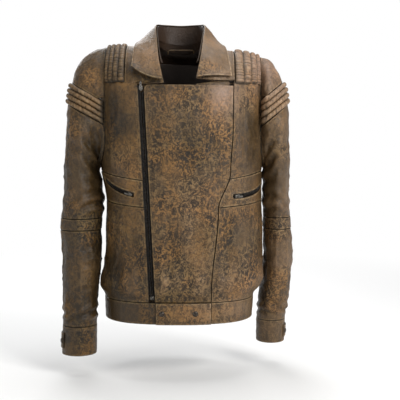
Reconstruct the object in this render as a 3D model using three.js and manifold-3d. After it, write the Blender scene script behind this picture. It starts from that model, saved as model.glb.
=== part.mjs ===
// Leather riding jacket with padded, ribbed shoulders and an offset front zip.
// Millimetres, +Z up, the front faces -Y, the wearer's left is +X. Every sheet of leather is its own solid.
// Heights are first counted from the hem, then the whole jacket is moved so that its origin is the
// underside of the hanger loop.
import * as THREE from 'three';
import { mergeVertices } from 'three/addons/utils/BufferGeometryUtils.js';
import Module from 'manifold-3d';

const wasm = await Module();
wasm.setup();

// ---- driving dimensions ----
const LEATHER = 2.2; // thickness of one sheet with its turned edge
const GAP = 0.6; // clearance between neighbouring sheets
const WAISTBAND_TOP = 50;
const POCKET_BAND_BOTTOM = 266;
const FLAP_TOP = 549;
const FLAP_EASE = 1; // extra room along the seam that the flap folds about
const RIB_BOTTOM = 549; // lower edge of the ribbed shoulder panels
const ARMPIT = 353;
const SHOULDER_HEIGHT = 636; // along the padded part of the shoulder
const NECK_RISE = 20; // how much higher the leather stands at the neck
const SHOULDER_DROP = 2.76e-13; // fall per sixth power of the distance outward
const SHOULDER_TILT = 0.05; // the wearer's right shoulder hangs a little higher
const NECK_HALF_WIDTH = 62;
const RIB_EDGE = 125; // inner edge of the ribbed shoulder panels, from the centre
const RIB_RELIEF = 3.5;
const RIBS = 4;
const SLEEVE_RIB_BAND = 46; // width of the ribbed band round each sleeve
const FULLNESS = 0.25; // squareness of the body's cross-section
const ZIP_TOP = new THREE.Vector2(-87, 537); // x and height of the main zip's ends
const ZIP_BOTTOM = new THREE.Vector2(-63, 57);
const ZIP_HALF_WIDTH = 6.5;
const CHAIN_WIDTH = 3.6;
const CHAIN_THICKNESS = 2;
const CHAIN_DEPTH = 1.1; // how far the chain's middle lies under the leather's face
const SLIDER = { length: 13, width: 8, plate: 1.4, clearance: 0.45, post: 0.9 };
const PULL = { length: 15, width: 5, thickness: 1.2, heel: 0.9 };
const SNAP_RADIUS = 6.5;
const HANGER = { width: 60, depth: 8, thickness: 2.4, legs: 11, y: 50, height: 634 };

const DEGREE = Math.PI / 180;
const QUARTER = Math.PI / 2;

// ---- helpers ----
const clamp = (value, low, high) => Math.min(high, Math.max(low, value));
const mix = THREE.MathUtils.lerp;
const rowsOf = (start, end, count) => Array.from({ length: count + 1 }, (_, i) => mix(start, end, i / count));

// A smooth function through a few [height, value] pairs.
function profile(points) {
  return (at) => {
    if (at <= points[0][0]) {
      return points[0][1];
    }
    for (let i = 1; i < points.length; i++) {
      if (at < points[i][0]) {
        const t = (at - points[i - 1][0]) / (points[i][0] - points[i - 1][0]);
        return mix(points[i - 1][1], points[i][1], t * t * (3 - 2 * t));
      }
    }
    return points[points.length - 1][1];
  };
}

function signedVolume(geometry) {
  const p = geometry.attributes.position;
  const index = geometry.index;
  const [a, b, c] = [new THREE.Vector3(), new THREE.Vector3(), new THREE.Vector3()];
  let sum = 0;
  for (let i = 0; i < index.count; i += 3) {
    a.fromBufferAttribute(p, index.getX(i));
    b.fromBufferAttribute(p, index.getX(i + 1));
    c.fromBufferAttribute(p, index.getX(i + 2));
    sum += a.dot(b.cross(c));
  }
  return sum / 6;
}

// Moves every corner of a closed geometry, and keeps its faces pointing out.
function bend(source, move) {
  source.deleteAttribute('uv');
  source.deleteAttribute('normal');
  const geometry = mergeVertices(source, 1e-4);
  const p = geometry.attributes.position;
  const corner = new THREE.Vector3();
  for (let i = 0; i < p.count; i++) {
    corner.fromBufferAttribute(p, i);
    const moved = move(corner);
    p.setXYZ(i, moved.x, moved.y, moved.z);
  }
  if (signedVolume(geometry) < 0) {
    const index = geometry.index;
    for (let i = 0; i < index.count; i += 3) {
      const second = index.getX(i + 1);
      index.setX(i + 1, index.getX(i + 2));
      index.setX(i + 2, second);
    }
  }
  return geometry;
}

// A box bent into a sheet: place(u, row, w) gives a point, u runs across, w = 0 is outside and 1 inside.
function sheet(place, columns, rows) {
  const last = rows.length - 1;
  const block = new THREE.BoxGeometry(1, 1, 1, columns, last, 1);
  return bend(block, (p) => place(p.x + 0.5, rows[Math.round((p.y + 0.5) * last)], p.z + 0.5));
}

// The same for a ring that closes on itself, such as a sleeve.
function tube(place, sides, rows) {
  const last = rows.length - 1;
  const outline = rows.map((_, i) => new THREE.Vector2(2, i / last));
  const inside = rows.map((_, i) => new THREE.Vector2(1, 1 - i / last));
  const ring = new THREE.LatheGeometry([...outline, ...inside, outline[0]], sides);
  return bend(ring, (p) => {
    const u = (Math.atan2(p.x, p.z) / (2 * Math.PI) + 1) % 1;
    return place(u, rows[Math.round(p.y * last)], 2 - Math.hypot(p.x, p.z));
  });
}

function toSolid(geometry) {
  const plain = geometry.clone();
  plain.deleteAttribute('uv');
  plain.deleteAttribute('normal');
  const merged = mergeVertices(plain, 1e-4);
  return new wasm.Manifold(new wasm.Mesh({
    numProp: 3,
    vertProperties: new Float32Array(merged.attributes.position.array),
    triVerts: new Uint32Array(merged.index.array),
  }));
}

function toGeometry(solid) {
  const mesh = solid.getMesh();
  const geometry = new THREE.BufferGeometry();
  geometry.setAttribute('position', new THREE.BufferAttribute(mesh.vertProperties, 3));
  geometry.setIndex(new THREE.BufferAttribute(mesh.triVerts, 1));
  return geometry;
}

const join = (...geometries) => toGeometry(geometries.map(toSolid).reduce((a, b) => a.add(b)));
const cut = (body, ...tools) => toGeometry(tools.map(toSolid).reduce((a, b) => a.subtract(b), toSolid(body)));

function box(width, depth, height, x, y, z) {
  return new THREE.BoxGeometry(width, depth, height).translate(x, y, z);
}

// ---- the object as a list of named meshes ----
const group = new THREE.Group();
const LEATHERS = {
  shell: new THREE.Color(0.2, 0.12, 0.07),
  trim: new THREE.Color(0.28, 0.17, 0.1),
  lining: new THREE.Color(0.05, 0.035, 0.03),
  metal: new THREE.Color(0.12, 0.1, 0.09),
  padding: new THREE.Color(0.75, 0.73, 0.68),
};

function add(name, geometry, look) {
  const metal = look === 'metal';
  const material = new THREE.MeshStandardMaterial({
    color: LEATHERS[look],
    roughness: metal ? 0.4 : 0.7,
    metalness: metal ? 0.9 : 0,
  });
  const mesh = new THREE.Mesh(geometry, material);
  mesh.name = name;
  group.add(mesh);
  return mesh;
}

// ---- the body's surface ----
const bodyHalfWidth = profile([[0, 176], [50, 178], [78, 187], [203, 188], [273, 185], [373, 192]]);
const bodyCentre = profile([[0, -5], [53, -4], [123, 8], [273, 8], [353, 2], [533, 0]]);
const neckRise = profile([[60, NECK_RISE], [108, 0]]);
const shoulderLine = (x) => SHOULDER_HEIGHT - SHOULDER_DROP * x ** 6 - SHOULDER_TILT * x;

// Above `bend` the sheet rolls back over the shoulder, which it reaches `over` millimetres later.
const FRONT = { sign: -1, bend: 525, over: 205, depth: profile([[0, 143], [50, 145], [78, 150]]) };
const BACK = { sign: 1, bend: 473, over: 255, depth: profile([[0, 135], [50, 137], [78, 143], [423, 150]]) };
const ridge = (face) => face.bend + face.over;

function body(face, angle, height, inset = 0) {
  const x = bodyCentre(height) + (bodyHalfWidth(height) - inset) * Math.sin(angle);
  const roundness = Math.cos(angle) * (1 + FULLNESS * Math.sin(angle) ** 2);
  const roll = clamp((height - face.bend) / face.over, 0, 1) * QUARTER;
  const y = face.sign * (face.depth(height) - inset) * roundness * Math.cos(roll);
  const over = (shoulderLine(x) - inset - face.bend) * Math.sin(roll);
  const z = roll > 0 ? face.bend + over + neckRise(Math.abs(x)) * Math.sin(roll) ** 8 : height;
  return new THREE.Vector3(x, y, z);
}

const angleAt = (x, height) => Math.asin(clamp((x - bodyCentre(height)) / bodyHalfWidth(height), -1, 1));

// ---- seam lines, as angles round the body at a height ----
const RIGHT = { sign: -1, armholeX: 172 };
const LEFT = { sign: 1, armholeX: 186 };
const ARMHOLE_GAP = 3.2;
const SCOOP = 75; // height over which the armhole rounds in from the side seam

function armhole(side, height) {
  if (height <= ARMPIT) {
    return side.sign * QUARTER;
  }
  const straight = angleAt(side.sign * side.armholeX, height);
  const k = clamp((height - ARMPIT) / SCOOP, 0, 1);
  return mix(side.sign * QUARTER, straight, Math.sqrt(1 - (1 - k) ** 2));
}

const zipX = (height) => mix(ZIP_BOTTOM.x, ZIP_TOP.x, (height - ZIP_BOTTOM.y) / (ZIP_TOP.y - ZIP_BOTTOM.y));
const foldX = profile([[0, 71], [66, 72], [261, 88], [347, 116], [445, 121.5], [562, 123]]);
const neckX = (height) => {
  const m = clamp((ridge(FRONT) - height) / (ridge(FRONT) - FLAP_TOP), 0, 1);
  return NECK_HALF_WIDTH - 28 * m ** 1.2;
};
const NAPE = 651; // height along the back at which the neck seam crosses the centre
const napeLine = (x) => {
  const across = clamp(Math.abs(x) / NECK_HALF_WIDTH, 0, 1);
  return ridge(BACK) - (ridge(BACK) - NAPE) * Math.sqrt(1 - across * across);
};
const pocketTop = (angle) => 327 + 18 * clamp((Math.abs(angle) - 0.45) / 0.8, 0, 1);
const pocketBottom = (angle) => POCKET_BAND_BOTTOM + 10 * clamp((Math.abs(angle) - 0.45) / 0.8, 0, 1);

// A sheet of the body between two heights and two seam lines. Angles are signed from the face's middle.
function bodySheet(face, { bottom, top, from, to, columns, rows, outer = 0, inner = LEATHER }) {
  return sheet((u, row, w) => {
    const middle = (from(row) + to(row)) / 2;
    const inset = mix(outer, inner, w);
    const wide = GAP / 2 / bodyHalfWidth(row);
    const angle = mix(from(row) + wide, to(row) - wide, u);
    const share = (row - rows[0]) / (rows[rows.length - 1] - rows[0]);
    const low = (typeof bottom === 'function' ? bottom(angle) - bottom(middle) : 0) * (1 - share);
    const high = (typeof top === 'function' ? top(angle) - top(middle) : 0) * share;
    return body(face, angle, row + low + high, inset);
  }, columns, rows);
}

// ---- the sleeves' surface ----
// Each station is a ring: outer x and z, inner x and z, half depth, and how far its middle sits back.
const RIGHT_STATIONS = [
  [205, 626, 190.5, 356, 80, 0], [232, 605, 191, 355, 84, 0], [247, 577, 191.5, 353, 86, 0],
  [260, 546, 192, 350, 86, 0], [266, 511, 192, 345, 85, -2], [271, 434, 191, 335, 80, -5],
  [277, 357, 189, 318, 74, -10], [280, 280, 183, 273, 68, -15], [284, 235, 187, 235, 62, -18],
  [285, 208, 189, 208, 60, -20], [282, 127, 190, 127, 56, -26], [280, 50, 197, 50, 52, -32],
  [279, -17, 199, -17, 48, -38], [281, -85, 200, -85, 45, -42],
];
const LEFT_STATIONS = [
  [206, 608, 194.5, 356, 76, 2], [221, 590, 195, 355, 80, 4], [233, 572, 195.5, 353, 82, 6],
  [247, 546, 196, 350, 83, 8], [254, 511, 196.5, 345, 83, 10], [258, 434, 197, 335, 80, 13],
  [260, 357, 198, 318, 75, 17], [261, 280, 197, 273, 70, 22], [264, 235, 199, 235, 65, 26],
  [266, 208, 199, 208, 63, 28], [271, 127, 200, 127, 58, 36], [264, 50, 191, 50, 53, 42],
  [255, -17, 185, -17, 48, 47], [253, -73, 185, -73, 45, 50],
];
const ELBOW = 9; // station of the elbow's fold
const BAND_END = 10;
const CUFF = 13;
const WRIST = 14;

RIGHT.stations = RIGHT_STATIONS;
LEFT.stations = LEFT_STATIONS;
RIGHT.ribs = { outer: [264, 530], inner: [172, 478] };
LEFT.ribs = { outer: [252, 533], inner: [188, 480] };

// The armhole as a ring: 0 at the armpit, a quarter at the front, a half at the shoulder.
function armholeRing(side, u, inset) {
  const face = u <= 0.5 ? FRONT : BACK;
  const top = shoulderLine(side.sign * side.armholeX);
  const z = mix(ARMPIT + 2, top, (1 - Math.cos(2 * Math.PI * u)) / 2);
  const height = z < face.bend ? z
    : face.bend + face.over * Math.asin(clamp((z - face.bend) / (top - face.bend), 0, 1)) / QUARTER;
  const point = body(face, armhole(side, height), height, inset);
  point.x += side.sign * ARMHOLE_GAP;
  return point;
}

function stationRing(side, number, u, inset) {
  const [outerX, outerZ, innerX, innerZ, depth, back] = side.stations[number - 1];
  const half = Math.hypot(outerX - innerX, outerZ - innerZ) / 2;
  const along = Math.cos(2 * Math.PI * u) * (1 - inset / half);
  return new THREE.Vector3(
    side.sign * ((outerX + innerX) / 2 - ((outerX - innerX) / 2) * along),
    back - (depth - inset) * Math.sin(2 * Math.PI * u),
    (outerZ + innerZ) / 2 - ((outerZ - innerZ) / 2) * along,
  );
}

function sleeve(side, u, at, inset = 0) {
  const low = Math.min(Math.floor(at), WRIST - 1);
  const first = low === 0 ? armholeRing(side, u, inset) : stationRing(side, low, u, inset);
  return first.lerp(stationRing(side, low + 1, u, inset), at - low);
}

// Distance below the plane through the middle of the sleeve's ribbed band.
function belowRibs(side, point) {
  const [ox, oz] = side.ribs.outer;
  const [ix, iz] = side.ribs.inner;
  const normal = new THREE.Vector2(oz - iz, -(ox - ix)).normalize();
  return (side.sign * point.x - ox) * normal.x + (point.z - oz) * normal.y;
}

// How far along the sleeve, at u, the surface is `distance` below that plane.
function stationBelowRibs(side, u, distance) {
  let [low, high] = [0, 8];
  if (belowRibs(side, sleeve(side, u, 0)) >= distance) {
    return 0;
  }
  for (let i = 0; i < 30; i++) {
    const middle = (low + high) / 2;
    if (belowRibs(side, sleeve(side, u, middle)) < distance) {
      low = middle;
    } else {
      high = middle;
    }
  }
  return (low + high) / 2;
}

// Where on the armhole ring, between start and end, the plane at `distance` crosses it.
function crossing(side, start, end, distance) {
  let [low, high] = [start, end];
  for (let i = 0; i < 30; i++) {
    const middle = (low + high) / 2;
    if (belowRibs(side, armholeRing(side, middle, 0)) > distance) {
      low = middle;
    } else {
      high = middle;
    }
  }
  return (low + high) / 2;
}

// ---- straight and curved zips ----
// A path frame gives position and directions (along, out, across) at a distance from the zip's start.
function straightPath(start, end) {
  const along = end.clone().sub(start).normalize();
  const out = new THREE.Vector3(0, -1, 0).addScaledVector(along, along.y).normalize();
  const across = along.clone().cross(out).normalize();
  const length = start.distanceTo(end);
  return { length, at: (d) => ({ point: start.clone().addScaledVector(along, d), along, out, across }) };
}

// An arc through three points of the body's surface.
function arcPath(a, b, c) {
  const ab = b.clone().sub(a);
  const ac = c.clone().sub(a);
  const normal = ab.clone().cross(ac);
  const size = normal.lengthSq();
  const centre = ac.clone().multiplyScalar(ab.lengthSq()).cross(normal.clone()).negate()
    .add(ab.clone().multiplyScalar(ac.lengthSq()).cross(normal.clone()))
    .divideScalar(2 * size);
  centre.negate().add(a);
  const radius = centre.distanceTo(a);
  const axis = normal.normalize();
  const first = a.clone().sub(centre).normalize();
  const angle = first.angleTo(c.clone().sub(centre));
  return {
    length: radius * angle, radius, centre, axis, angle,
    at: (d) => {
      const out = first.clone().applyAxisAngle(axis, d / radius);
      return { point: centre.clone().addScaledVector(out, radius), out, across: axis.clone(),
        along: axis.clone().cross(out) };
    },
  };
}

// A bar that follows a path between two distances, with given limits across and out.
function pathBar(path, from, to, across, out, steps) {
  return sheet((u, row, w) => {
    const frame = path.at(row);
    return frame.point.clone().addScaledVector(frame.across, mix(across[0], across[1], u))
      .addScaledVector(frame.out, mix(out[0], out[1], w));
  }, 1, rowsOf(from, to, steps));
}

function placeOnPath(mesh, path, distance) {
  const frame = path.at(distance);
  const basis = new THREE.Matrix4().makeBasis(frame.along, frame.out, frame.along.clone().cross(frame.out));
  mesh.quaternion.setFromRotationMatrix(basis);
  mesh.position.copy(frame.point);
  return mesh;
}

// Slider in its own frame: x along the zip, y outward, z across. The chain's middle is y = 0.
function sliderBody() {
  const gap = CHAIN_THICKNESS / 2 + SLIDER.clearance;
  const front = gap + SLIDER.plate / 2;
  return join(
    box(SLIDER.length, SLIDER.plate, SLIDER.width, 0, front, 0),
    box(SLIDER.length, SLIDER.plate, SLIDER.width, 0, -front, 0),
    box(SLIDER.length * 0.5, 2 * gap + 1, SLIDER.post, 0, 0, 0),
    box(5, 2.4, 1.8, 0, gap + SLIDER.plate + 1, 0),
  );
}

// Pull tab that lies along +x from its hinge at the slider's bridge.
function pullTab() {
  const tab = box(PULL.length, PULL.thickness, PULL.width, PULL.length / 2 - PULL.heel, 0, 0);
  return cut(tab, box(6.4, 6, 2.6, 1.2, 0, 0));
}
const PULL_LIFT = CHAIN_THICKNESS / 2 + SLIDER.clearance + SLIDER.plate + 0.5 + PULL.thickness / 2;

// ---- body panels ----
const SHOULDER_ROWS = [562, 590, 620, 650, 680, 705];
const zipAngle = (height, offset) => angleAt(zipX(height) + offset, height);

function sideFrontPanel(side) {
  const seamIn = side === RIGHT
    ? (h) => (h < FLAP_TOP ? zipAngle(h, -ZIP_HALF_WIDTH) : angleAt(-neckX(h), h))
    : (h) => (h < 562 ? angleAt(foldX(h), h) : angleAt(neckX(h), h));
  const seamOut = (h) => (h < RIB_BOTTOM ? armhole(side, h) : angleAt(side.sign * RIB_EDGE, h));
  const rows = [337.3, 356, 378, 400, 428, 470, 505, RIB_BOTTOM - 0.7, RIB_BOTTOM + 0.7,
    ...SHOULDER_ROWS, ridge(FRONT) - 0.6];
  return bodySheet(FRONT, {
    bottom: pocketTop, from: side === RIGHT ? seamOut : seamIn, to: side === RIGHT ? seamIn : seamOut,
    columns: 8, rows,
  });
}

for (const [side, name] of [[RIGHT, 'right_front_panel'], [LEFT, 'left_side_front']]) {
  add(name, sideFrontPanel(side), 'shell');
}

function frontPiece(side, top, bottom, rows, extra = {}) {
  const inside = side === RIGHT
    ? (h) => zipAngle(h, -ZIP_HALF_WIDTH)
    : (h) => angleAt(foldX(h), h);
  const outside = () => side.sign * QUARTER;
  return bodySheet(FRONT, {
    top, bottom, rows, columns: 8,
    from: side === RIGHT ? outside : inside, to: side === RIGHT ? inside : outside, ...extra,
  });
}

// The x and height of three points along each pocket zip, from its front end.
RIGHT.pocket = [[-111, 297], [-146, 309], [-170, 325]];
LEFT.pocket = [[129, 292], [164, 297], [187, 311]];
const pocketPaths = {};
for (const [side, name] of [[RIGHT, 'right'], [LEFT, 'left']]) {
  const [a, b, c] = side.pocket.map(([x, z]) => body(FRONT, angleAt(x, z), z, CHAIN_DEPTH));
  const path = arcPath(a, b, c);
  pocketPaths[name] = path;
  const band = frontPiece(side, pocketTop, pocketBottom, rowsOf(271.3, 336, 5));
  const slot = pathBar(path, -8, path.length + 5, [-5, 5], [-9, 9], 6);
  add(`${name}_pocket_band`, cut(band, slot), 'shell');
  add(`${name}_lower_front`,
    frontPiece(side, pocketBottom, WAISTBAND_TOP, [WAISTBAND_TOP + 0.4, 64, 80, 140, 210, 270.6]), 'shell');
  const chain = pathBar(path, -7, path.length + 4, [-0.5 - CHAIN_WIDTH, 0.5 + CHAIN_WIDTH],
    [-CHAIN_THICKNESS / 2, CHAIN_THICKNESS / 2], 8);
  const groove = pathBar(path, -6, path.length + 3, [-0.8, 0.8], [-4, 4], 8);
  add(`${name}_pocket_zip`, cut(chain, groove), 'metal');
  add(`${name}_pocket_bag`, bodySheet(FRONT, {
    from: () => (side === RIGHT ? -1.2 : 0.62), to: () => (side === RIGHT ? -0.62 : 1.2),
    columns: 4, rows: rowsOf(196, 330, 4), outer: 6.4, inner: 8.4,
  }), 'lining');
}

// Back: one panel to the yoke seam, then the yoke up to the shoulders and the neck.
const YOKE = 600;
const YOKE_HEIGHTS = [YOKE + 1.4, 632, 664, 696];
add('back_panel', bodySheet(BACK, {
  from: (h) => armhole(RIGHT, h), to: (h) => armhole(LEFT, h), columns: 14,
  rows: [WAISTBAND_TOP + 0.4, 64, 80, 140, 210, 280, ARMPIT - 0.3, 378, 400, 428, 473, 515, 560, YOKE - 0.3],
}), 'shell');
add('back_yoke', sheet((u, v, w) => {
  const x = mix(-RIB_EDGE + GAP / 2, RIB_EDGE - GAP / 2, u);
  const height = mix(YOKE + 0.3, Math.min(napeLine(x), ridge(BACK) - 0.6), v);
  return body(BACK, angleAt(x, height), height, LEATHER * w);
}, 16, rowsOf(0, 1, 4)), 'shell');

// Ribbed shoulder panels run from the front over the shoulder to the back.
const RIB_ROWS = [
  ...[RIB_BOTTOM + 4, ...SHOULDER_ROWS].map((height) => height - ridge(FRONT)), 0,
  ...YOKE_HEIGHTS.slice().reverse().map((height) => ridge(BACK) - height),
];
for (const [side, name] of [[RIGHT, 'right'], [LEFT, 'left']]) {
  const geometry = sheet((u, row, w) => {
    const face = row < 0 ? FRONT : BACK;
    const height = ridge(face) - Math.abs(row);
    const inEdge = angleAt(side.sign * (RIB_EDGE + GAP), height);
    const outEdge = armhole(side, height) - side.sign * 0.004;
    const rib = RIB_RELIEF * (1 - Math.abs(Math.cos(Math.PI * RIBS * u)));
    return body(face, mix(inEdge, outEdge, u), height, w < 0.5 ? -rib : LEATHER);
  }, 2 * RIBS, RIB_ROWS);
  add(`${name}_shoulder_ribs`, geometry, 'shell');
}

// Waistband: the back, the wearer's left, and the right end that runs on under the flap.
const UNDERWRAP_END = 52;
const band = (from, to, columns, outer, inner) => bodySheet(FRONT, {
  from, to, columns, rows: [0, 25, WAISTBAND_TOP - 0.4], outer, inner,
});
add('waistband_back', bodySheet(BACK, {
  from: () => -QUARTER, to: () => QUARTER, columns: 12, rows: [0, 25, WAISTBAND_TOP - 0.4],
}), 'trim');
add('waistband_right', band(() => -QUARTER, (h) => angleAt(UNDERWRAP_END, h), 12, 0, LEATHER), 'trim');
add('waistband_left', band((h) => angleAt(foldX(h), h), () => QUARTER, 7, 0, LEATHER), 'trim');

// ---- the front flap ----
add('front_flap_panel', bodySheet(FRONT, {
  from: (h) => zipAngle(h, ZIP_HALF_WIDTH) + 0.05 * clamp((h - 532) / 14, 0, 1) ** 2,
  to: (h) => angleAt(foldX(h) - FLAP_EASE, h), columns: 11,
  rows: [WAISTBAND_TOP + 1, 64, 80, 140, 210, 261, 300, 347, 400, 445, 500, 532, 541, FLAP_TOP - 3.4],
}), 'shell');
add('front_flap_facing', bodySheet(FRONT, {
  from: (h) => zipAngle(h, ZIP_HALF_WIDTH + 3), to: (h) => angleAt(foldX(h) - 3, h), columns: 6,
  rows: [WAISTBAND_TOP + 8, 80, 210, 261, 347, 445, 500, FLAP_TOP - 6], outer: 3.2, inner: 5,
}), 'lining');
add('waistband_flap', band((h) => angleAt(-54, h), (h) => angleAt(foldX(h) - 1, h), 6, -5.4, -3), 'trim');

const snapAt = (x) => body(FRONT, angleAt(x, 26), 26, 0);
const outwardAt = (x) => {
  const here = snapAt(x);
  const ahead = snapAt(x + 2).sub(here);
  return new THREE.Vector3(ahead.y, -ahead.x, 0).normalize();
};
function dome(radius, height) {
  const outline = [new THREE.Vector2(0, 0), new THREE.Vector2(radius, 0), new THREE.Vector2(radius, height * 0.4),
    new THREE.Vector2(radius * 0.75, height * 0.85), new THREE.Vector2(0, height)];
  return new THREE.LatheGeometry(outline, 12);
}
function turnedTo(geometry, direction, place) {
  const turn = new THREE.Quaternion().setFromUnitVectors(new THREE.Vector3(0, 1, 0), direction);
  const solid = geometry.applyQuaternion(turn).translate(place.x, place.y, place.z);
  return bend(solid, (p) => p.clone());
}
for (const [x, name] of [[-40, 'outer'], [35, 'inner']]) {
  const out = outwardAt(x);
  const lifted = (by) => snapAt(x).addScaledVector(out, by);
  add(`hem_snap_cap_${name}`, turnedTo(dome(SNAP_RADIUS, 3), out, lifted(5.8)), 'metal');
  add(`hem_snap_stud_${name}`, turnedTo(dome(4.5, 1.7), out, lifted(0.4)), 'metal');
}

// ---- main zip ----
const onFront = ({ x, y }) => body(FRONT, angleAt(x, y), y, CHAIN_DEPTH);
const zipStart = onFront(ZIP_TOP);
const zipEnd = onFront(ZIP_BOTTOM);
const mainPath = straightPath(zipStart, zipEnd);
const CHAIN_TOP = 8; // the chain on the flap starts this far below the parked slider's middle
const thick = [-CHAIN_THICKNESS / 2, CHAIN_THICKNESS / 2];
const sideOf = mainPath.at(0).across.x > 0 ? 1 : -1;
const strip = (sign) => (sign > 0 ? [0.8, 0.8 + CHAIN_WIDTH] : [-0.8 - CHAIN_WIDTH, -0.8]);
add('main_zip_chain_right', pathBar(mainPath, -6, mainPath.length - 9, strip(-sideOf), thick, 2), 'metal');
add('main_zip_chain_flap', pathBar(mainPath, CHAIN_TOP, mainPath.length - 9, strip(sideOf), thick, 2), 'metal');
add('main_zip_box', pathBar(mainPath, mainPath.length - 8, mainPath.length, [-5, 5], [-1.8, 1.8], 1), 'metal');

const mainSlider = placeOnPath(add('main_zip_slider', sliderBody(), 'metal'), mainPath, 0);
const mainPull = placeOnPath(add('main_zip_pull', pullTab(), 'metal'), mainPath, 0);
mainPull.position.addScaledVector(mainPath.at(0).out, PULL_LIFT);
mainPull.rotateY(Math.PI);

// ---- pocket sliders, parked at the front ends ----
for (const name of ['right', 'left']) {
  const path = pocketPaths[name];
  placeOnPath(add(`${name}_pocket_slider`, sliderBody(), 'metal'), path, 2);
  const pull = placeOnPath(add(`${name}_pocket_pull`, pullTab(), 'metal'), path, 2);
  pull.position.addScaledVector(path.at(2).out, PULL_LIFT);
}

// ---- collar ----
// Half lines from the middle of the back to the front ends: the wearer's right, then the left.
const COLLAR_LINES = {
  roll: [
    [[-40, 42, 698], [-54, -10, 690], [-50, -78, 648], [-42, -134, 592], [-33, -156, 552]],
    [[0, 60, 698], [40, 42, 698], [54, -10, 690], [50, -78, 648], [42, -134, 596], [33, -156, 558]],
  ],
  edge: [
    [[-60, 84, 632], [-88, 42, 642], [-100, -8, 648], [-106, -70, 632], [-109, -130, 585]],
    [[0, 94, 632], [60, 84, 630], [86, 42, 636], [99, -8, 640], [107, -62, 628], [118, -130, 562]],
  ],
  base: [
    [[-36, 50, 652], [-54, 0, 654], [-50, -68, 630], [-38, -118, 592], [-27, -140, 568]],
    [[0, 60, 648], [36, 50, 652], [54, 0, 654], [50, -68, 630], [38, -118, 592], [27, -140, 572]],
  ],
};
const collarLine = ([right, left]) => (
  new THREE.CatmullRomCurve3([...right.slice().reverse(), ...left].map((p) => new THREE.Vector3(...p)))
);
const rollLine = collarLine(COLLAR_LINES.roll);
const edgeLine = collarLine(COLLAR_LINES.edge);
const baseLine = collarLine(COLLAR_LINES.base);
// True while a point lies under the body's leather or closer to it than `clear`.
function insideBody(point, clear) {
  const face = point.y < 0 ? FRONT : BACK;
  const angle = Math.asin(clamp(point.x / bodyHalfWidth(face.bend), -1, 1));
  const depth = Math.abs(body(face, angle, face.bend, -clear).y);
  const lean = clamp(Math.abs(point.y) / depth, 0, 1);
  const steep = Math.sqrt(1 - lean * lean);
  const over = (shoulderLine(point.x) + clear - face.bend) * steep;
  return Math.abs(point.y) < depth && point.z < face.bend + over + neckRise(Math.abs(point.x)) * steep ** 8;
}

function between(lineA, lineB, crown) {
  const surface = (t, v) => {
    const point = lineA.getPoint(t).lerp(lineB.getPoint(t), v);
    const out = new THREE.Vector3(point.x * 0.6, point.y, 70).normalize();
    point.addScaledVector(out, crown * 4 * v * (1 - v));
    for (let i = 0; i < 40 && crown > 0 && insideBody(point, 3); i++) {
      point.addScaledVector(out, 1);
    }
    return point;
  };
  return (t, v, thickness) => {
    const e = 0.002;
    const point = surface(t, v);
    const alongT = surface(Math.min(t + e, 1), v).sub(surface(Math.max(t - e, 0), v));
    const alongV = surface(t, v + e).sub(surface(t, v - e));
    return point.addScaledVector(alongT.cross(alongV).normalize(), thickness);
  };
}
const leaf = between(rollLine, edgeLine, 7);
const stand = between(baseLine, rollLine, 0);
const leafSheet = sheet((u, v, w) => leaf(u, v, mix(1.3, -1.3, w)), 20, rowsOf(0.05, 1, 4));
const standSheet = sheet((u, v, w) => stand(mix(0.1, 0.9, u), v, mix(1, -1, w)), 16, rowsOf(0, 0.86, 2));
add('collar_leaf', leafSheet, 'trim');
add('collar_stand', standSheet, 'trim');

// ---- hanger loop in the back of the neck ----
const legsMiddle = HANGER.height - HANGER.legs / 2;
const insideWidth = HANGER.width - 2 * HANGER.thickness;
const loopOuter = box(HANGER.width, HANGER.depth, HANGER.legs, 0, HANGER.y, legsMiddle + HANGER.thickness);
const loopInner = box(insideWidth, HANGER.depth + 2, HANGER.legs, 0, HANGER.y, legsMiddle);
add('hanger_loop', cut(loopOuter, loopInner), 'trim');

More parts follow.
